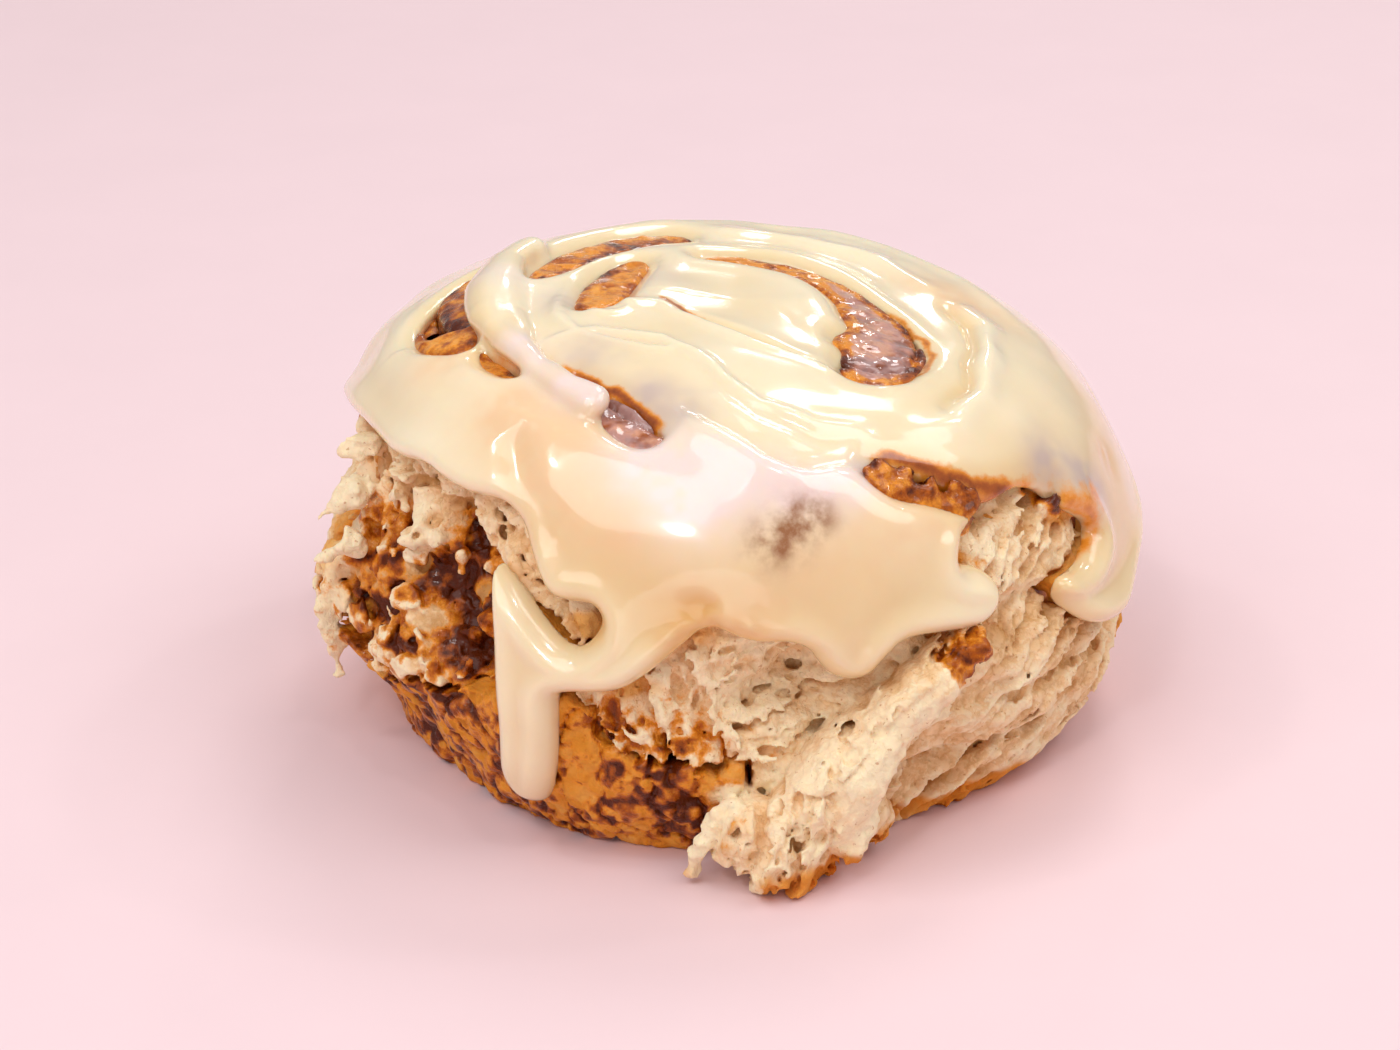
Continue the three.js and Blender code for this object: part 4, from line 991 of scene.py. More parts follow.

# %% [markdown]
# ## How the icing is tinted
# Icing is translucent, so its colour tells what lies under it. It is nearly white where it is thick, with a
# painted lilac reflection there, peach where warm dough shines through, grey over cinnamon, and amber where
# it runs out thin.
# In one place filling lies so near that it shows as a brown stain. Each tint is a set of soft balls in
# space, which works on the top and on the sides alike.

# %% Tints of the icing
TINTS = {  # x, y, z, radius, amount
    # The lilac white is thick icing's white with a painted lilac reflection.
    "lilac_reflection_white": [(-10, -34.6, 44.7, 4.5, 0.9), (-4, -36.6, 43.8, 4.5, 1), (2.2, -37.3, 43, 4, 0.9),
                    (-5, -39.8, 40.8, 4.5, 0.7), (-23.6, -15.1, 50, 3, 0.9), (-20.7, -19.8, 50, 3, 1),
                    (-17.3, -24.5, 49, 3, 1), (-14.9, -26.5, 49, 2.6, 0.9), (6.4, -37.3, 43, 3, 0.9),
                    (10.6, -36.9, 42.6, 3, 0.9), (14, -34.4, 43, 2.6, 0.9), (-27, 2, 50, 3.5, 0.5)],
    "peach": [(-20.9, -29.7, 45.4, 6, 0.8), (-17.6, -34.8, 43.1, 6, 1), (-12.3, -39.6, 39.5, 6, 0.7),
              (-24.2, -24.6, 46.6, 5, 0.7), (-32.6, -13.8, 47, 4.5, 0.7), (22.6, 10.7, 46.8, 5, 0.5),
              (25.8, 8, 46.3, 4, 0.7), (31, 4, 44, 4, 0.5), (18, -37, 40, 6, 0.7), (10, -43, 36, 7, 0.4),
              (26, -33, 37, 4, 0.6), (0, -46, 33, 7, 0.4)],
    "grey": [(-10.4, -25.6, 48.2, 3.6, 0.9), (-5.5, -28.3, 47.3, 3, 0.8), (-16.5, -17.4, 49.5, 4, 0.6),
             (34, -21, 38.1, 3.5, 0.9), (38.3, -17.7, 34.2, 3.5, 0.9), (40.3, -15.9, 31.6, 2.6, 0.7),
             (-19.5, -3, 50.4, 3, 0.6), (13, -33.5, 42, 2, 0.5), (-10, 4, 49, 4, 0.4)],
    "stain": [(5.6, -40.7, 39.2, 2.6, 0.9), (3.0, -41.8, 37.6, 2.4, 0.8), (8, -39.6, 40, 2.2, 0.7)],
    "amber": [(-4, -44.4, 31.4, 1.5, 0.9), (-6.1, -44.8, 29.5, 3.4, 0.6), (-1.9, -45.6, 28.2, 3.6, 0.6),
              (2.5, -45.8, 27.5, 3, 0.4), (42.5, -9, 33, 2.4, 0.6), (-15.8, -42.8, 28.8, 2.0, 0.8)]}
SYRUP_LINES = [  # thin lines of syrup on the icing: points in plan, half width, amount
    ([(-5, 12.6), (-0.8, 14.2), (2.8, 13.8), (6.2, 12.4), (9.4, 10.2), (12.4, 7)], 0.8, 0.8),
    ([(16, 3.4), (18.8, -1), (20.9, -5.4), (21.7, -9.6), (20.5, -14), (18.2, -18), (15.2, -19.6), (12, -19)],
     0.5, 0.5),
    ([(-8.2, -2.6), (-6.7, -4.4), (-5.1, -6.2), (-3.2, -7.9)], 0.45, 0.75),
    ([(-18.6, -17.6), (-15.4, -20.9), (-12.2, -24), (-9.8, -26.8), (-8, -29.6)], 0.5, 0.75),
    ([(13, -31.6), (16.2, -30.2), (19, -29.9), (22, -29.7), (25.2, -28.9), (28.4, -27.1), (32.4, -23.4)],
     0.6, 0.7),
    ([(33.6, -22.8), (36.5, -21.8), (38.2, -20.2), (40.6, -16.2)], 1.0, 0.4)]


def unsteady(amount, size):
    """The places of the plan map shifted a little, so that what is drawn along a line wavers."""
    flat = 0 * plan_map.u
    return [places + amount * lumps(plan_map.u, plan_map.v, flat, size, layer)
            for layer, places in enumerate((plan_map.u, plan_map.v))]


def draw_syrup_lines():
    """How much syrup lies on the icing in thin lines, on the plan map."""
    amount = np.zeros(plan_map.u.shape)
    x, y = unsteady(0.35, 2.0)
    for points, wide, most in SYRUP_LINES:
        distance, share = along_line(points, x, y)
        fade = np.clip(6 * share * (1 - share) + 0.3, 0, 1)
        amount = np.maximum(amount, most * fade * np.exp(-((distance / wide) ** 2)))
    return amount


def tint_at(places, x, y, z):
    """The amount of one tint at a place, from 0 to 1."""
    total = np.zeros(np.shape(x))
    for px, py, pz, radius, amount in places:
        away = (x - px) ** 2 + (y - py) ** 2 + (z - pz) ** 2
        total += amount * np.exp(-away / radius**2)
    return np.clip(total * (1 + 0.3 * lumps(x, y, z, 3.0, 1) + 0.3 * lumps(x, y, z, 1.2)), 0, 1)


line_drawn = draw_syrup_lines()
print(f"{len(TINTS)} tints, {len(SYRUP_LINES)} lines of syrup")

# %% [markdown]
# ## The icing
# The icing is a second field, laid over the baked surface with its own thickness: a slow unevenness, a bead
# along the hem, ridges where the last spoonfuls ran over each other, and a round lip at every edge.

# %% Ridges, creases and the last string of icing
STRAND = [  # the string lies along these places on the top
    (-24.4, 14.6), (-26.5, 9.5), (-27.4, 1.6), (-26.6, -6), (-24.3, -13), (-21.6, -18.6), (-18.2, -23.8),
    (-15.4, -26.6)]
STRAND_WIDTH = [  # share of the way along it, half width
    (0, 2.4), (0.15, 2.5), (0.35, 3.5), (0.5, 2.8), (0.62, 1.9), (0.8, 1.5), (0.93, 1.7), (1, 1.9)]
RIDGES = [  # raised lines on the icing: points, half width, height
    ([(-8.7, -31.7), (-5, -31), (-1.9, -33), (2.2, -36.2), (6.4, -37.1), (12.7, -34.8), (14, -33.7)],
     2.3, 1.5),
    ([(25.8, 5.7), (28.6, 0), (28.5, -6.9), (27, -17.5), (23.9, -23.4), (19, -27)], 1.3, 0.8),
    ([(-24, 14.5), (-22, 15.5)], 3.2, 1.2),
    ([(-19.7, -1.8), (-19.5, -7.4), (-17.1, -12.8), (-10.5, -16.4), (-4, -17.5)], 0.7, 0.5),
    ([(-20.9, -12.8), (-14.9, -12.4), (-8.4, -14.1), (-5.1, -17.7), (-1.9, -23.1), (2.3, -27.5), (8.1, -28.9),
      (14, -28)], 0.8, 0.75),
    ([(-15.2, -3.9), (-8.5, -4), (-4, -9.8), (2.5, -14.9), (10, -18.5), (16, -19.6), (21, -16)], 1.0, 0.5),
    ([(-2, 26), (8, 23), (17, 17), (23, 9)], 1.2, 0.6),
    ([(-12, 29), (2, 31), (16, 26), (27, 16), (33, 5)], 1.6, 0.5),
    ([(-31, -16), (-26, -24), (-19, -31), (-10, -36)], 1.4, 0.4),
    ([(-3, -26), (2, -30.5), (9, -32)], 0.8, 0.4)]
CREASES = [  # lines where one pour stops against the next
    ([(-6.5, -5.5), (-1.8, -8.6), (2.6, -12.6), (6.9, -16.2), (12, -19)], 0.7, -0.65),
    ([(23.8, 5), (26.4, 0), (26.4, -6.5), (25, -16), (22, -22)], 0.8, -0.85),
    ([(-24.6, -28.4), (-23.4, -32.8), (-21.7, -36.8), (-20.1, -39.3)], 1.8, -0.8),
    ([(-6, -27), (-2, -30.5), (3, -33.8), (8, -34.8), (12, -33)], 1.0, -0.8),
    ([(-24.5, -8), (-22, -14), (-18.5, -19)], 0.8, -0.5)]
RIPPLE = (-14.0, -5.5, 2.2, 0.6, 0.35)  # a small round ripple: x, y, radius, half width, height


def draw_ridges():
    """How far ridges raise the icing and creases lower it, on the plan map."""
    height = np.zeros(plan_map.u.shape)
    x, y = unsteady(0.5, 5.0)
    for points, wide, tall in RIDGES + CREASES:
        distance, share = along_line(points, x, y)
        fade = np.sqrt(np.clip(4 * share * (1 - share), 0, 1)) * 0.8 + 0.2
        line = tall * fade * np.exp(-((distance / wide) ** 2))
        height = np.maximum(height, line) if tall > 0 else height + line
    x, y, radius, wide, tall = RIPPLE
    return height + tall * np.exp(-(((np.hypot(plan_map.u - x, plan_map.v - y) - radius) / wide) ** 2))


ridge_drawn = draw_ridges()
strand_far, strand_share = along_line(STRAND, plan_map.u, plan_map.v)
strand_width_drawn = curve(STRAND_WIDTH, strand_share)
print(f"ridges {ridge_drawn.max():.1f} mm high, creases {-ridge_drawn.min():.1f} mm deep")

# %% The icing's field
ICING_THICKNESS, LIP = 2.0, 2.3  # of the sheet, and how far in its rounded lip reaches
THINNED_BY_AMBER, THINNED_BY_GAP = 0.45, 0.42  # shares that it loses where it runs out thin and beside a gap
STRAND_RAISED = 2.1  # the middle of the string lies this high over the dough
STRAND_FROM = 40.0  # and the string only above this height


def icing_thickness(x, y, z, inward):
    """Millimetres of icing on a place that lies so far in from its edge."""
    slow = 0.5 * lumps(x, y, z, 13.0) + 0.25 * lumps(x, y, z, 6.0, 1)
    bead = 0.55 * np.exp(-(((inward - 1.9) / 1.5) ** 2))
    whole = ICING_THICKNESS + slow + bead + plan_map.read(ridge_drawn, x, y) * smoothstep(30, 38, z)
    by_gap = np.where(z > 30, smoothstep(4.5, 0.5, -plan_map.read(gap_drawn, x, y)), 0)
    thinned = THINNED_BY_AMBER * tint_at(TINTS["amber"], x, y, z)
    return whole * (1 - thinned) * (1 - THINNED_BY_GAP * by_gap)


def from_edge(x, y, z):
    """How far in from the edge of the icing a place is, negative where it is bare."""
    hem = side_map.read(hem_drawn, azimuth_of(x, y), z)
    gap = np.where(z > SHOULDER_FROM, -plan_map.read(gap_drawn, x, y), FAR)
    return smooth_min(hem, gap, 0.6)


def strand_field(x, y, z, over):
    """The last string of icing, lying across the top: round, and flatter where it is wide."""
    wide = plan_map.read(strand_width_drawn, x, y)
    tall = 0.3 * wide + 0.8
    from_middle = np.hypot(plan_map.read(strand_far, x, y) / wide, (over - STRAND_RAISED) / tall)
    return (from_middle - 1) * np.minimum(wide, tall)


def icing_field(x, y, z):
    """The sheet of icing with its lip and the string on it, down to just inside the dough."""
    inward = from_edge(x, y, z)
    over = body(x, y, z) + 0.35 * dip_at(x, y, z)
    thick = icing_thickness(x, y, z, inward)
    edge = np.hypot(np.maximum(LIP - inward, 0) / LIP, np.maximum(over, 0) / thick)
    top = np.where(inward > LIP, over - thick, thick * (edge - 1))
    top = smooth_min(top, np.where(z > STRAND_FROM, strand_field(x, y, z, over), 9), 0.9)
    under = -(body(x, y, z) + dip_at(x, y, z) + 0.7)
    return np.maximum(top, under)


def icing_shell(x, y, z, slack):
    """The places near enough to the icing to be worked out."""
    rough = body(x, y, z)
    near = (rough < 4.4 + slack) & (rough > -5.2 - slack) & (z > 3)
    near &= side_map.read(hem_drawn, azimuth_of(x, y), z) > -1.5 - slack
    return np.ones(np.shape(x)), near


# %% The icing's mesh
ICING_GRID, ICING_CELL = ((-51, -53.5, 2), (51, 51, 56)), CELL * 1.2
icing_points, icing_quads = grid_mesh(icing_field, *ICING_GRID, ICING_CELL, icing_shell)


def icing_marks(points):
    """What the icing's material has to know at each point."""
    x, y, z = points.T
    gap = plan_map.read(gap_drawn, x, y)
    on_strand = (strand_field(x, y, z, body(x, y, z)) < 0.5) & (z > STRAND_FROM)
    by_gap = (z > SHOULDER_FROM) & ~on_strand
    # painted light: from 33 mm up the icing is read as thicker, so its top comes out whiter.
    thick = icing_thickness(x, y, z, from_edge(x, y, z)) + 0.9 * smoothstep(33, 44, z) - 0.4
    tints = {tint: tint_at(places, x, y, z) for tint, places in TINTS.items()}
    return {"thickness_and_top_light": thick, "from_gap": np.where(by_gap, -gap, 9),
            "syrup_line": plan_map.read(line_drawn, x, y) * by_gap, **tints}


def buried_share(points):
    """1 where a point of the icing lies inside the dough."""
    return smoothstep(0.1, -0.4, body(*points.T) + dip_at(*points.T))


icing = piece_from_points("icing_sheet", icing_points, icing_quads, icing_marks(icing_points))
thin_out(icing, buried_share(icing_points), ICING_KEPT)
print(f"icing meshed in {time.time() - started:.0f} s")

# %% [markdown]
# ## The filling
# The filling is a wall of cinnamon sugar along the seam. Only its upper edge shows, in the gaps of the
# icing, so its faces are plain below and lumpy at the top.

# %% The cinnamon wall
FILLING_THICKNESS, FILLING_FOOT = 2.2, 0.6  # and how high over the table it begins
FILLING_SPAN, FILLING_STEP = (-180, 540), 1.2  # degrees round the eye
FILLING_START, FILLING_SUNK = 0.8, 0.9  # its upper edge: first guess below the crown, depth in the dough
FILLING_COVERED = 0.5  # and its faces at least this deep inside the torn sides


def filling_profile():
    """The wall's cross section: side from -1 to 1, and share of the way up, with a round upper edge."""
    rises = np.arange(0, 100, 15) / 100
    crest = [(-math.cos(a), 1.0) for a in np.linspace(0, math.pi, 9)]
    return [(-1, up) for up in rises] + crest + [(1, up) for up in rises[::-1]]


def filling_line():
    """Places along the seam, and the direction out of the wall at each."""
    turned = np.arange(FILLING_SPAN[0], FILLING_SPAN[1] + 0.1, FILLING_STEP)
    radius, turned = curve(SEAM, turned), np.radians(turned)
    line = np.stack([EYE[0] + radius * np.cos(turned), EYE[1] + radius * np.sin(turned)], 1)
    ahead = np.gradient(line, axis=0)
    ahead /= np.linalg.norm(ahead, axis=1)[:, None]
    return line, np.stack([ahead[:, 1], -ahead[:, 0]], 1)


def filling_row(line, out, side, up):
    """One row of points along the wall, at one place of its cross section."""
    p = line + out * side * FILLING_THICKNESS / 2
    top = crown_at(p[:, 0], p[:, 1]) - FILLING_START
    for _ in range(12):  # lowers the edge until it lies in the dough
        over = body(p[:, 0], p[:, 1], top) + dip_at(p[:, 0], p[:, 1], top)
        top = top - np.maximum(over + FILLING_SUNK, 0)
    z = FILLING_FOOT + (top - FILLING_FOOT) * up
    p = p * (side_radius(np.minimum(z, BELLY_HEIGHT)) / BELLY_RADIUS)[:, None]
    if up == 1.0:
        z = z + 0.6 * np.sqrt(max(1 - side * side, 0)) + 0.35 * lumps(p[:, 0], p[:, 1], z, 1.2)
    return np.stack([p[:, 0], p[:, 1], z], 1)


def filling_wall():
    line, out = filling_line()
    points = np.stack([filling_row(line, out, side, up) for side, up in filling_profile()], 1)
    n, m = points.shape[:2]
    flat = points.reshape(-1, 3)
    for _ in range(24):  # draws the wall in until it lies inside the torn sides
        x, y, z = flat.T
        bare = (torn_body(x, y, z, azimuth_of(x, y))[0] > -FILLING_COVERED) & (z < 40)
        flat[bare, :2] *= 0.985
    index = np.arange(n * m).reshape(n, m)
    quads = np.stack([index[:-1, :-1], index[:-1, 1:], index[1:, 1:], index[1:, :-1]], -1).reshape(-1, 4)
    foot = np.stack([index[:-1, -1], index[:-1, 0], index[1:, 0], index[1:, -1]], -1)
    return flat, np.concatenate([quads, foot])


filling = piece_from_points("cinnamon_wall", *filling_wall(), {})
print(f"filling: {len(filling.data.polygons)} faces")

# %% [markdown]
# ## Small helpers for materials
# A material is a tree of nodes. These helpers each add one node and hand back what it puts out, so that the
# recipes below read like recipes. A value may be a number, a colour or another node's output.

# %% Helpers for nodes
def feed(tree, socket, value):
    """Puts a number, a colour or a link into a socket."""
    if isinstance(value, bpy.types.NodeSocket):
        tree.links.new(value, socket)
    elif isinstance(value, tuple) and len(value) == 3 and len(socket.default_value) == 4:
        socket.default_value = (*value, 1)
    else:
        socket.default_value = value


def mark(tree, name):
    """A number that was stored at the mesh's points."""
    node = tree.nodes.new("ShaderNodeAttribute")
    node.attribute_name = name
    return node.outputs["Fac"]


def noise(tree, scale, detail, rough=0.55):
    """Noise that stays with the piece as it moves."""
    node = tree.nodes.new("ShaderNodeTexNoise")
    for name, value in (("Scale", scale), ("Detail", detail), ("Roughness", rough)):
        feed(tree, node.inputs[name], value)
    where = tree.nodes.new("ShaderNodeTexCoord").outputs["Object"]
    tree.links.new(where, node.inputs["Vector"])
    return node.outputs["Fac"]


def ramp(tree, value, stops):
    """A colour that goes through (place, colour) stops as a value grows."""
    node = tree.nodes.new("ShaderNodeValToRGB")
    while len(node.color_ramp.elements) < len(stops):
        node.color_ramp.elements.new(0.5)
    for element, (place, colour) in zip(node.color_ramp.elements, stops):
        element.position, element.color = place, (*colour, 1)
    tree.links.new(value, node.inputs[0])
    return node.outputs[0]


def mix(tree, share, a, b, kind="MIX"):
    """Colour a, with a share of colour b over it."""
    node = tree.nodes.new("ShaderNodeMix")
    node.data_type, node.blend_type = "RGBA", kind
    for socket, value in ((node.inputs[0], share), (node.inputs[6], a), (node.inputs[7], b)):
        feed(tree, socket, value)
    return node.outputs[2]


def math_node(tree, kind, a, b=0.0, clamp=False):
    node = tree.nodes.new("ShaderNodeMath")
    node.operation, node.use_clamp = kind, clamp
    feed(tree, node.inputs[0], a)
    feed(tree, node.inputs[1], b)
    return node.outputs[0]


def plus(tree, a, b, clamp=False):
    return math_node(tree, "ADD", a, b, clamp)


def minus(tree, a, b, clamp=False):
    return math_node(tree, "SUBTRACT", a, b, clamp)


def times(tree, a, b, clamp=False):
    return math_node(tree, "MULTIPLY", a, b, clamp)


def share_between(tree, value, low, high):
    """0 below low, 1 above high, and smooth in between."""
    node = tree.nodes.new("ShaderNodeMapRange")
    node.interpolation_type = "SMOOTHSTEP"
    for name, number in (("From Min", low), ("From Max", high)):
        feed(tree, node.inputs[name], number)
    tree.links.new(value, node.inputs["Value"])
    return node.outputs["Result"]


def bump(tree, height, strength, distance):
    """A normal that follows a height, so that fine relief catches the light."""
    node = tree.nodes.new("ShaderNodeBump")
    node.inputs["Strength"].default_value = strength
    node.inputs["Distance"].default_value = distance
    tree.links.new(height, node.inputs["Height"])
    return node.outputs["Normal"]


def new_material(name, values):
    """A material, its tree and its shader, with the shader's even values set."""
    material = bpy.data.materials.new(name)
    material.use_nodes = True
    shader = material.node_tree.nodes["Principled BSDF"]
    for socket, value in values.items():
        shader.inputs[socket].default_value = value
    return material, material.node_tree, shader


print("helpers: mark, noise, ramp, mix, plus, minus, times, share_between, bump")

# %% [markdown]
# ## Two shared effects
# Cinnamon syrup shows on the crumb, on the skin and on the filling, so it is one node group: a colour that
# goes from amber to red-brown to nearly black as the amount grows, and a mask of where it lies. Fine grain is
# the other: the same small unevenness breaks up each of the roll's surfaces, at its own scale. Node groups
# keep one recipe in one place, and each material sets its own values on their sockets.

# %% Shared effects
AMBER, RED_BROWN, BURNT = (0.80, 0.29, 0.022), (0.42, 0.092, 0.004), (0.10, 0.014, 0.001)
SYRUP_SHOWS = (0.10, 0.42)  # between these amounts syrup goes from not seen to covering what lies under it


def new_group(name, takes, gives):
    """An empty node group, the sockets that bring its values in and those that take its results."""
    group = bpy.data.node_groups.new(name, "ShaderNodeTree")
    for label, kind, value in takes:
        socket = group.interface.new_socket(label, in_out="INPUT", socket_type=kind)
        socket.default_value = value
    for label, kind in gives:
        group.interface.new_socket(label, in_out="OUTPUT", socket_type=kind)
    return group, group.nodes.new("NodeGroupInput").outputs, group.nodes.new("NodeGroupOutput").inputs


def make_syrup_group():
    group, takes, gives = new_group(
        "cinnamon syrup",
        [("Amount", "NodeSocketFloat", 0.0), ("Speckle", "NodeSocketFloat", 0.3),
         ("Scale", "NodeSocketFloat", 420.0), ("Under", "NodeSocketColor", (0.9, 0.7, 0.5, 1))],
        [("Color", "NodeSocketColor"), ("Mask", "NodeSocketFloat")])
    fine = minus(group, noise(group, takes["Scale"], 5.0, 0.62), 0.5)
    uneven = times(group, fine, times(group, takes["Speckle"], 4.0))
    lying = math_node(group, "GREATER_THAN", takes["Amount"], 0.02)
    amount = plus(group, takes["Amount"], times(group, uneven, lying), clamp=True)
    syrup = ramp(group, amount, [(0.36, AMBER), (0.62, RED_BROWN), (0.92, BURNT)])
    mask = share_between(group, amount, *SYRUP_SHOWS)
    group.links.new(mix(group, mask, takes["Under"], syrup), gives["Color"])
    group.links.new(mask, gives["Mask"])
    return group


def make_grain_group():
    group, takes, gives = new_group(
        "fine grain",
        [("Scale", "NodeSocketFloat", 900.0), ("Contrast", "NodeSocketFloat", 0.3),
         ("Color", "NodeSocketColor", (0.8, 0.8, 0.8, 1))],
        [("Color", "NodeSocketColor"), ("Height", "NodeSocketFloat")])
    fine = noise(group, takes["Scale"], 6.0, 0.6)
    shade = times(group, minus(group, fine, 0.5), takes["Contrast"])
    grey = group.nodes.new("ShaderNodeCombineColor")
    for channel in grey.inputs[:3]:
        group.links.new(plus(group, shade, 1.0), channel)
    group.links.new(mix(group, 1.0, takes["Color"], grey.outputs[0], "MULTIPLY"), gives["Color"])
    group.links.new(fine, gives["Height"])
    return group


SYRUP, GRAIN = make_syrup_group(), make_grain_group()
print("shared effects:", SYRUP.name, "and", GRAIN.name)


def place(tree, group, **values):
    """Puts a shared effect into a material, with that material's own values."""
    node = tree.nodes.new("ShaderNodeGroup")
    node.node_tree = group
    for name, value in values.items():
        feed(tree, node.inputs[name], value)
    return node.outputs


# %% [markdown]
# ## Bread
# One material serves the whole dough, because crumb turns into crust and into syrup-soaked skin without a
# border. The crumb is cream on its raised edges; painted shade makes it warm tan in its recesses and in the
# fine fibre creases across it.
# The skin goes from ochre to brown, and syrup marbles it. Where filling lay between two coils the dough wears
# a wet, rippled glaze, brown with bands of painted mauve reflection. The soft glow of bread comes from a
# little light scattering below the surface.

# %% The bread's material
# The cream is the crumb's own colour; the warmer and darker crumb colours are painted shade for its recesses.
CRUMB_LIGHT, CRUMB_WARM = (0.99, 0.83, 0.56), (0.95, 0.74, 0.48)
CRUMB_TAN_SHADE, CRUMB_DEEP_SHADE = (0.88, 0.60, 0.33), (0.62, 0.31, 0.10)
CRUST_OCHRE, CRUST_GOLD, CRUST_BROWN = (0.84, 0.42, 0.10), (0.74, 0.28, 0.03), (0.48, 0.15, 0.012)
# The brown of the glaze is its own; its mauve is a painted reflection.
GLAZE_BROWN, GLAZE_MAUVE_REFLECTION = (0.28, 0.075, 0.03), (0.60, 0.36, 0.33)
AMBER_TINT = (1.0, 0.76, 0.42)  # what baking multiplies the crumb's colour by


def bread_colour(tree, marks, noises, fibres_and_crease_shade):
    """Crumb with its painted shade, crust, and the golden stain between them, before any syrup."""
    opened, gold, recess_shade = marks
    middle, large, tiny = noises
    # painted shade: the crumb darkens from cream to deep tan the deeper a place lies and in the fibre creases
    deep = plus(tree, recess_shade, times(tree, minus(tree, middle, 0.5), 2.4))
    deep = plus(tree, deep, times(tree, fibres_and_crease_shade, 0.45))
    crumb = ramp(tree, share_between(tree, deep, -0.8, 2.8),
                 [(0.0, CRUMB_LIGHT), (0.3, CRUMB_WARM), (0.55, CRUMB_TAN_SHADE), (1.0, CRUMB_DEEP_SHADE)])
    dots = times(tree, share_between(tree, tiny, 0.66, 0.72), 0.5)
    crumb = mix(tree, dots, crumb, CRUST_BROWN)
    crust = ramp(tree, large, [(0.36, CRUST_OCHRE), (0.52, CRUST_GOLD), (0.68, CRUST_BROWN)])
    colour = mix(tree, opened, crust, crumb)
    golden = share_between(tree, times(tree, gold, plus(tree, middle, 0.5)), 0.3, 0.8)
    amber = mix(tree, 1.0, colour, AMBER_TINT, "MULTIPLY")
    return mix(tree, golden, colour, mix(tree, 0.45, amber, crust))


def bread_material():
    material, tree, skin = new_material("bread", {
        "Coat Roughness": 0.06, "Specular IOR Level": 0.14, "Subsurface Weight": 0.2,
        "Subsurface Radius": (1.0, 0.55, 0.3), "Subsurface Scale": 0.0005})
    opened, spice, gold, recess_shade, glaze = (
        mark(tree, name) for name in ("open_crumb", "spice", "gold", "recess_shade", "glaze"))
    noises = noise(tree, 300, 4), noise(tree, 110, 3), noise(tree, 1500, 2)
    # fine fibre relief, whose creases also get painted shade in bread_colour
    folds = math_node(tree, "ABSOLUTE", minus(tree, noise(tree, 620, 4, 0.6), 0.5))
    fibres_and_crease_shade = minus(tree, 1.0, share_between(tree, folds, 0.0, 0.09))
    colour = bread_colour(tree, (opened, gold, recess_shade), noises, fibres_and_crease_shade)
    soaked = place(tree, SYRUP, Amount=spice, Speckle=0.38, Scale=560.0, Under=colour)
    # The wet glaze: brown with bands of painted mauve reflection.
    wet = ramp(tree, noise(tree, 230, 3),
               [(0.38, GLAZE_BROWN), (0.52, GLAZE_MAUVE_REFLECTION), (0.62, GLAZE_MAUVE_REFLECTION), (0.7, GLAZE_BROWN)])
    shining = share_between(tree, glaze, 0.45, 0.9)
    colour = mix(tree, times(tree, shining, 0.65), soaked["Color"], wet)
    grain = place(tree, GRAIN, Scale=1100.0, Contrast=0.35, Color=colour)
    tree.links.new(grain["Color"], skin.inputs["Base Color"])
    dull = minus(tree, 0.82, times(tree, soaked["Mask"], 0.5))
    tree.links.new(minus(tree, dull, times(tree, glaze, 0.4), clamp=True), skin.inputs["Roughness"])
    baked = times(tree, soaked["Mask"], minus(tree, 0.28, times(tree, opened, 0.08)))
    tree.links.new(math_node(tree, "MAXIMUM", glaze, baked), skin.inputs["Coat Weight"])
    ripples = times(tree, noise(tree, 420, 2), times(tree, glaze, 2.2))
    rough = minus(tree, grain["Height"], times(tree, fibres_and_crease_shade, 0.4))
    height = plus(tree, ripples, times(tree, rough, minus(tree, 1.0, shining)))
    tree.links.new(bump(tree, height, 0.45, 0.0004), skin.inputs["Normal"])
    return material


bread = bread_material()
for piece in dough_pieces:
    piece.data.materials.append(bread)
print(f"{bread.name}: {len(bread.node_tree.nodes)} nodes on {len(dough_pieces)} pieces")

# %% [markdown]
# ## Cream cheese icing
# Fresh icing is wet, so it mirrors the light sharply, and light also sinks into it. Its colour follows its
# thickness, and painted light makes its top whiter; each tint lies over that. Next to a gap a thin amber line
# of syrup creeps up its edge.

# %% The icing's material
CREAM_THICK, CREAM_MIDDLE, CREAM_THIN = (0.94, 0.80, 0.57), (0.86, 0.665, 0.385), (0.80, 0.55, 0.27)
# The lilac white is thick icing's own white with a painted lilac reflection.
LILAC_REFLECTION_WHITE, PEACH, GREY_VEIL = (0.93, 0.74, 0.69), (0.88, 0.55, 0.30), (0.58, 0.45, 0.41)
AMBER_VEIL, BROWN_VEIL = (0.78, 0.42, 0.12), (0.36, 0.15, 0.06)
VEILS = [  # tint, its colour, the most of it
    ("peach", PEACH, 0.72), ("lilac_reflection_white", LILAC_REFLECTION_WHITE, 0.95), ("grey", GREY_VEIL, 0.85),
    ("amber", AMBER_VEIL, 0.8)]


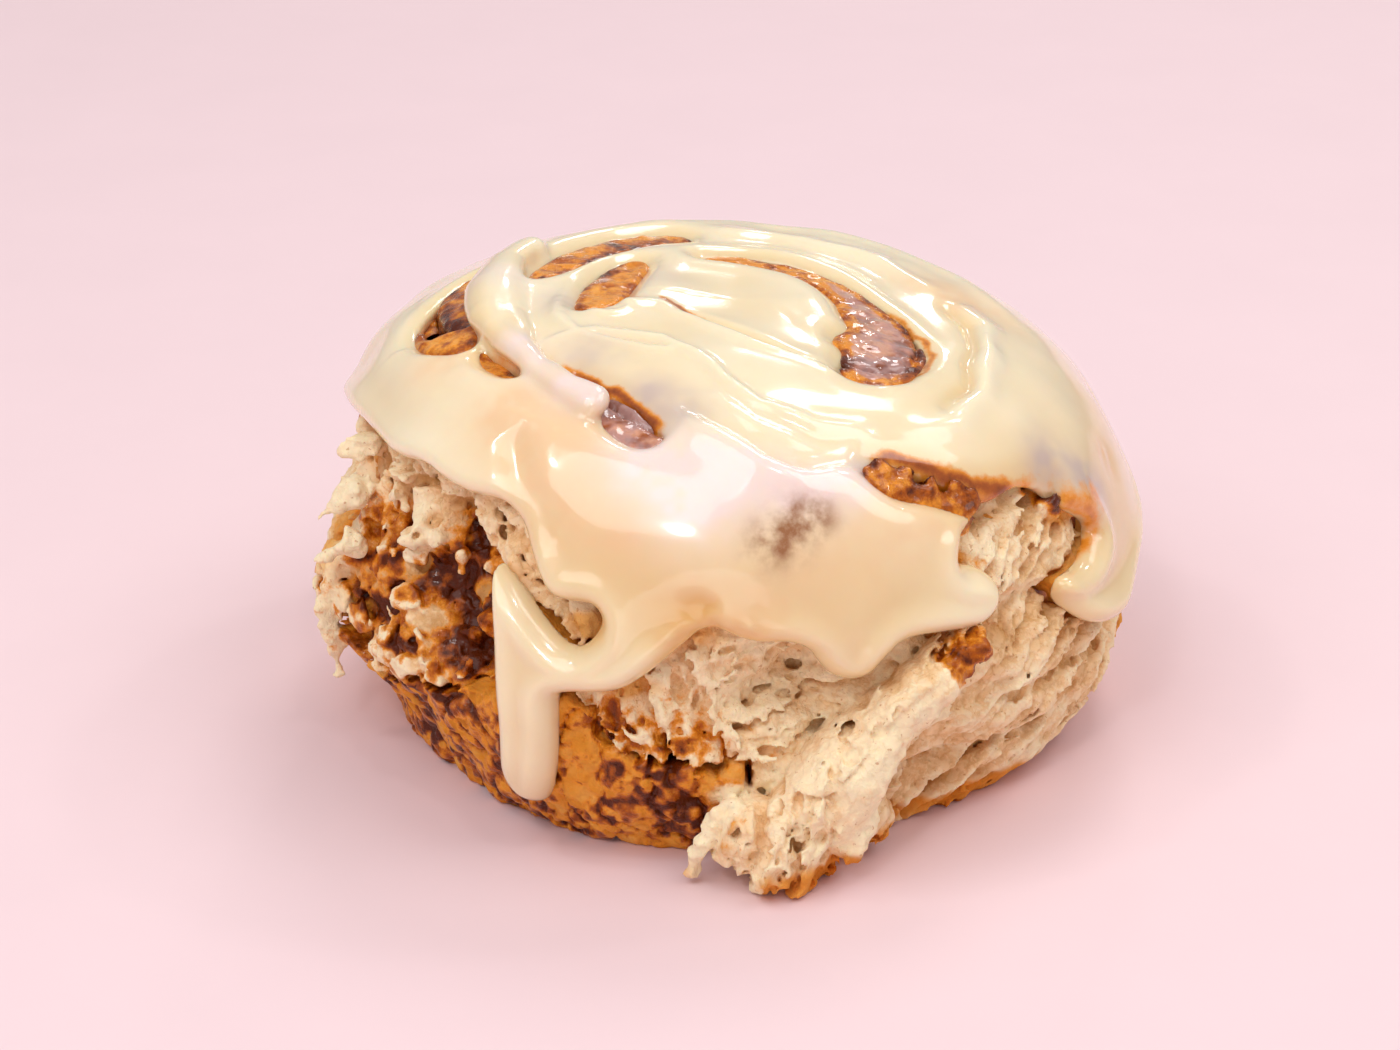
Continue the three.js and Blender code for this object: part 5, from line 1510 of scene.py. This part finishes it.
def icing_material():
    material, tree, skin = new_material("cream cheese icing", {
        "Roughness": 0.15, "Coat Weight": 0.6, "Coat Roughness": 0.04, "Subsurface Weight": 0.5,
        "Subsurface Radius": (1.0, 0.65, 0.4), "Subsurface Scale": 0.002})
    slow = noise(tree, 60, 3)
    thick = plus(tree, mark(tree, "thickness_and_top_light"), times(tree, slow, 0.8))
    colour = ramp(tree, share_between(tree, thick, 1.2, 3.6),
                  [(0.0, CREAM_THIN), (0.4, CREAM_MIDDLE), (1.0, CREAM_THICK)])
    for name, tint, most in VEILS:
        colour = mix(tree, times(tree, mark(tree, name), most), colour, tint)
    blotched = times(tree, mark(tree, "stain"), share_between(tree, noise(tree, 330, 4), 0.26, 0.72))
    colour = mix(tree, times(tree, blotched, 1.2, clamp=True), colour, BROWN_VEIL)
    ragged = plus(tree, mark(tree, "from_gap"), times(tree, noise(tree, 300, 3), 0.8))
    creeping = times(tree, minus(tree, 1.0, share_between(tree, ragged, 0.1, 0.8)), 0.42)
    creeping = math_node(tree, "MAXIMUM", creeping, mark(tree, "syrup_line"))
    syrup = place(tree, SYRUP, Amount=creeping, Speckle=0.15, Scale=600.0, Under=colour)
    grain = place(tree, GRAIN, Scale=260.0, Contrast=0.06, Color=syrup["Color"])
    tree.links.new(grain["Color"], skin.inputs["Base Color"])
    tree.links.new(bump(tree, noise(tree, 130, 2), 0.1, 0.0006), skin.inputs["Normal"])
    return material


icing.data.materials.append(icing_material())
print(f"icing: {len(VEILS)} veils and a stain over its cream")

# %% [markdown]
# ## Cinnamon filling
# The filling is brown sugar that has melted with butter: nearly black, grainy, and shiny with syrup.

# %% The filling's material
def filling_material():
    material, tree, skin = new_material("cinnamon sugar", {
        "Roughness": 0.35, "Coat Weight": 0.8, "Coat Roughness": 0.08})
    amount = plus(tree, noise(tree, 260, 3), 0.15)
    syrup = place(tree, SYRUP, Amount=amount, Speckle=0.35, Scale=700.0, Under=CRUST_BROWN)
    grain = place(tree, GRAIN, Scale=900.0, Contrast=0.5, Color=syrup["Color"])
    tree.links.new(grain["Color"], skin.inputs["Base Color"])
    tree.links.new(bump(tree, grain["Height"], 0.6, 0.0005), skin.inputs["Normal"])
    return material


filling.data.materials.append(filling_material())
print(f"filling: {filling.data.materials[0].name}")

# %% [markdown]
# ## Join the pieces to the imported roll
# Each piece rides on the roll's one body and stands for the imported solid that it dresses, which is hidden.

# %% Join the pieces to the imported roll
JOINED = [(piece, "dough", "crumb") for piece in dough_pieces]
JOINED += [(filling, "cinnamon_filling", "cinnamon"), (icing, "icing", "icing")]
for piece, node, slot in JOINED:
    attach(piece, "root")
    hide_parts(node)
print(f"{len(JOINED)} pieces joined to {len({node for _, node, _ in JOINED})} packed solids")

# %% [markdown]
# ## Table, light and camera
# Pastry is photographed in soft light from a large window, with small lights that put crisp highlights on
# the wet icing, and one low at the back that glances off the glaze. The table is plain and pale, so nothing
# takes the eye from the roll. The camera stands 25 degrees above the table, at 400 mm, which is close enough
# to show the crumb.

# %% The table
TABLE_REACH = 3.0  # metres from its middle to each side


def make_table():
    mesh = bpy.data.meshes.new("table_top")
    r = TABLE_REACH
    mesh.from_pydata([(-r, -r, 0), (r, -r, 0), (r, r, 0), (-r, r, 0)], [], [(0, 1, 2, 3)])
    table = bpy.data.objects.new("table_top", mesh)
    bpy.context.scene.collection.objects.link(table)
    material, tree, skin = new_material("pale table", {"Roughness": 0.7})
    grain = place(tree, GRAIN, Scale=40.0, Contrast=0.05, Color=(0.86, 0.65, 0.68))
    tree.links.new(grain["Color"], skin.inputs["Base Color"])
    mesh.materials.append(material)
    table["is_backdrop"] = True


make_table()
print(f"table {2 * TABLE_REACH:.0f} m wide")

# %% Lights
LIGHTS = [  # name, azimuth from the front, height in degrees, distance, size, power, colour
    ("window left", -46, 56, 0.9, 0.7, 2.65, (1, 1, 1)),
    ("soft right", 75, 58, 1.0, 0.6, 2.4, (1, 0.99, 0.98)),
    ("back top", 160, 55, 0.9, 0.30, 1.3, (1, 1, 1)),
    ("front spark", -18, 47, 0.9, 0.10, 0.6, (1, 1, 1)),
    ("low front", -4, 8, 0.9, 0.5, 0.7, (1, 0.98, 0.96)),
    ("high spark", 25, 68, 0.9, 0.07, 0.35, (1, 1, 1)),
    ("side spark", -85, 58, 0.9, 0.07, 0.35, (1, 1, 1)),
    ("rear spark", 120, 50, 0.9, 0.08, 0.4, (1, 1, 1)),
    ("rear low", 172, 30, 0.9, 0.08, 0.22, (1, 1, 1))]
WORLD_COLOUR, WORLD_STRENGTH = (0.97, 0.95, 0.96, 1), 0.42


def soft_light(name, azimuth, height, distance, size, power, colour):
    """A round light that faces the roll."""
    data = bpy.data.lights.new(name, "AREA")
    data.shape, data.size, data.energy, data.color = "DISK", size, power, colour
    lamp = bpy.data.objects.new(name, data)
    a, h = math.radians(azimuth), math.radians(height)
    lamp.location = Vector((math.sin(a) * math.cos(h), -math.cos(a) * math.cos(h), math.sin(h))) * distance
    lamp.rotation_euler = (-lamp.location).to_track_quat("-Z", "Y").to_euler()
    bpy.context.scene.collection.objects.link(lamp)


for light in LIGHTS:
    soft_light(*light)
world = bpy.data.worlds.new("studio")
world.use_nodes = True
background = world.node_tree.nodes["Background"].inputs
background["Color"].default_value, background["Strength"].default_value = WORLD_COLOUR, WORLD_STRENGTH
bpy.context.scene.world = world
bpy.context.scene.view_settings.view_transform = "Standard"
print(len(LIGHTS), "lights")

# %% The camera
CAMERA_RISE, CAMERA_DISTANCE = 25.0, 0.400  # degrees above the table, metres
CAMERA_LENS, CAMERA_SENSOR = 88.5, 36.0  # millimetres
CAMERA_TARGET = Vector((-0.0033, 0.00325, 0.0205))
camera_data = bpy.data.cameras.new("camera")
camera_data.lens, camera_data.sensor_width = CAMERA_LENS, CAMERA_SENSOR
camera = bpy.data.objects.new("camera", camera_data)
rise = math.radians(CAMERA_RISE)
camera.location = CAMERA_TARGET + Vector((0, -math.cos(rise), math.sin(rise))) * CAMERA_DISTANCE
camera.rotation_euler = (CAMERA_TARGET - camera.location).to_track_quat("-Z", "Y").to_euler()
bpy.context.scene.collection.objects.link(camera)
bpy.context.scene.camera = camera
print("camera at", [round(v, 3) for v in camera.location])

# %% [markdown]
# ## Sizes
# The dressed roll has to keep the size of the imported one, so both boxes are written down for comparison.

# %% Write the sizes and finish
dressed_box = [list(corner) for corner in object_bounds()]
for name, box in (("packed", packed_box), ("dressed", dressed_box)):
    print(name, [[round(v * 1000, 2) for v in corner] for corner in box])
print(f"made in {time.time() - started:.0f} s")
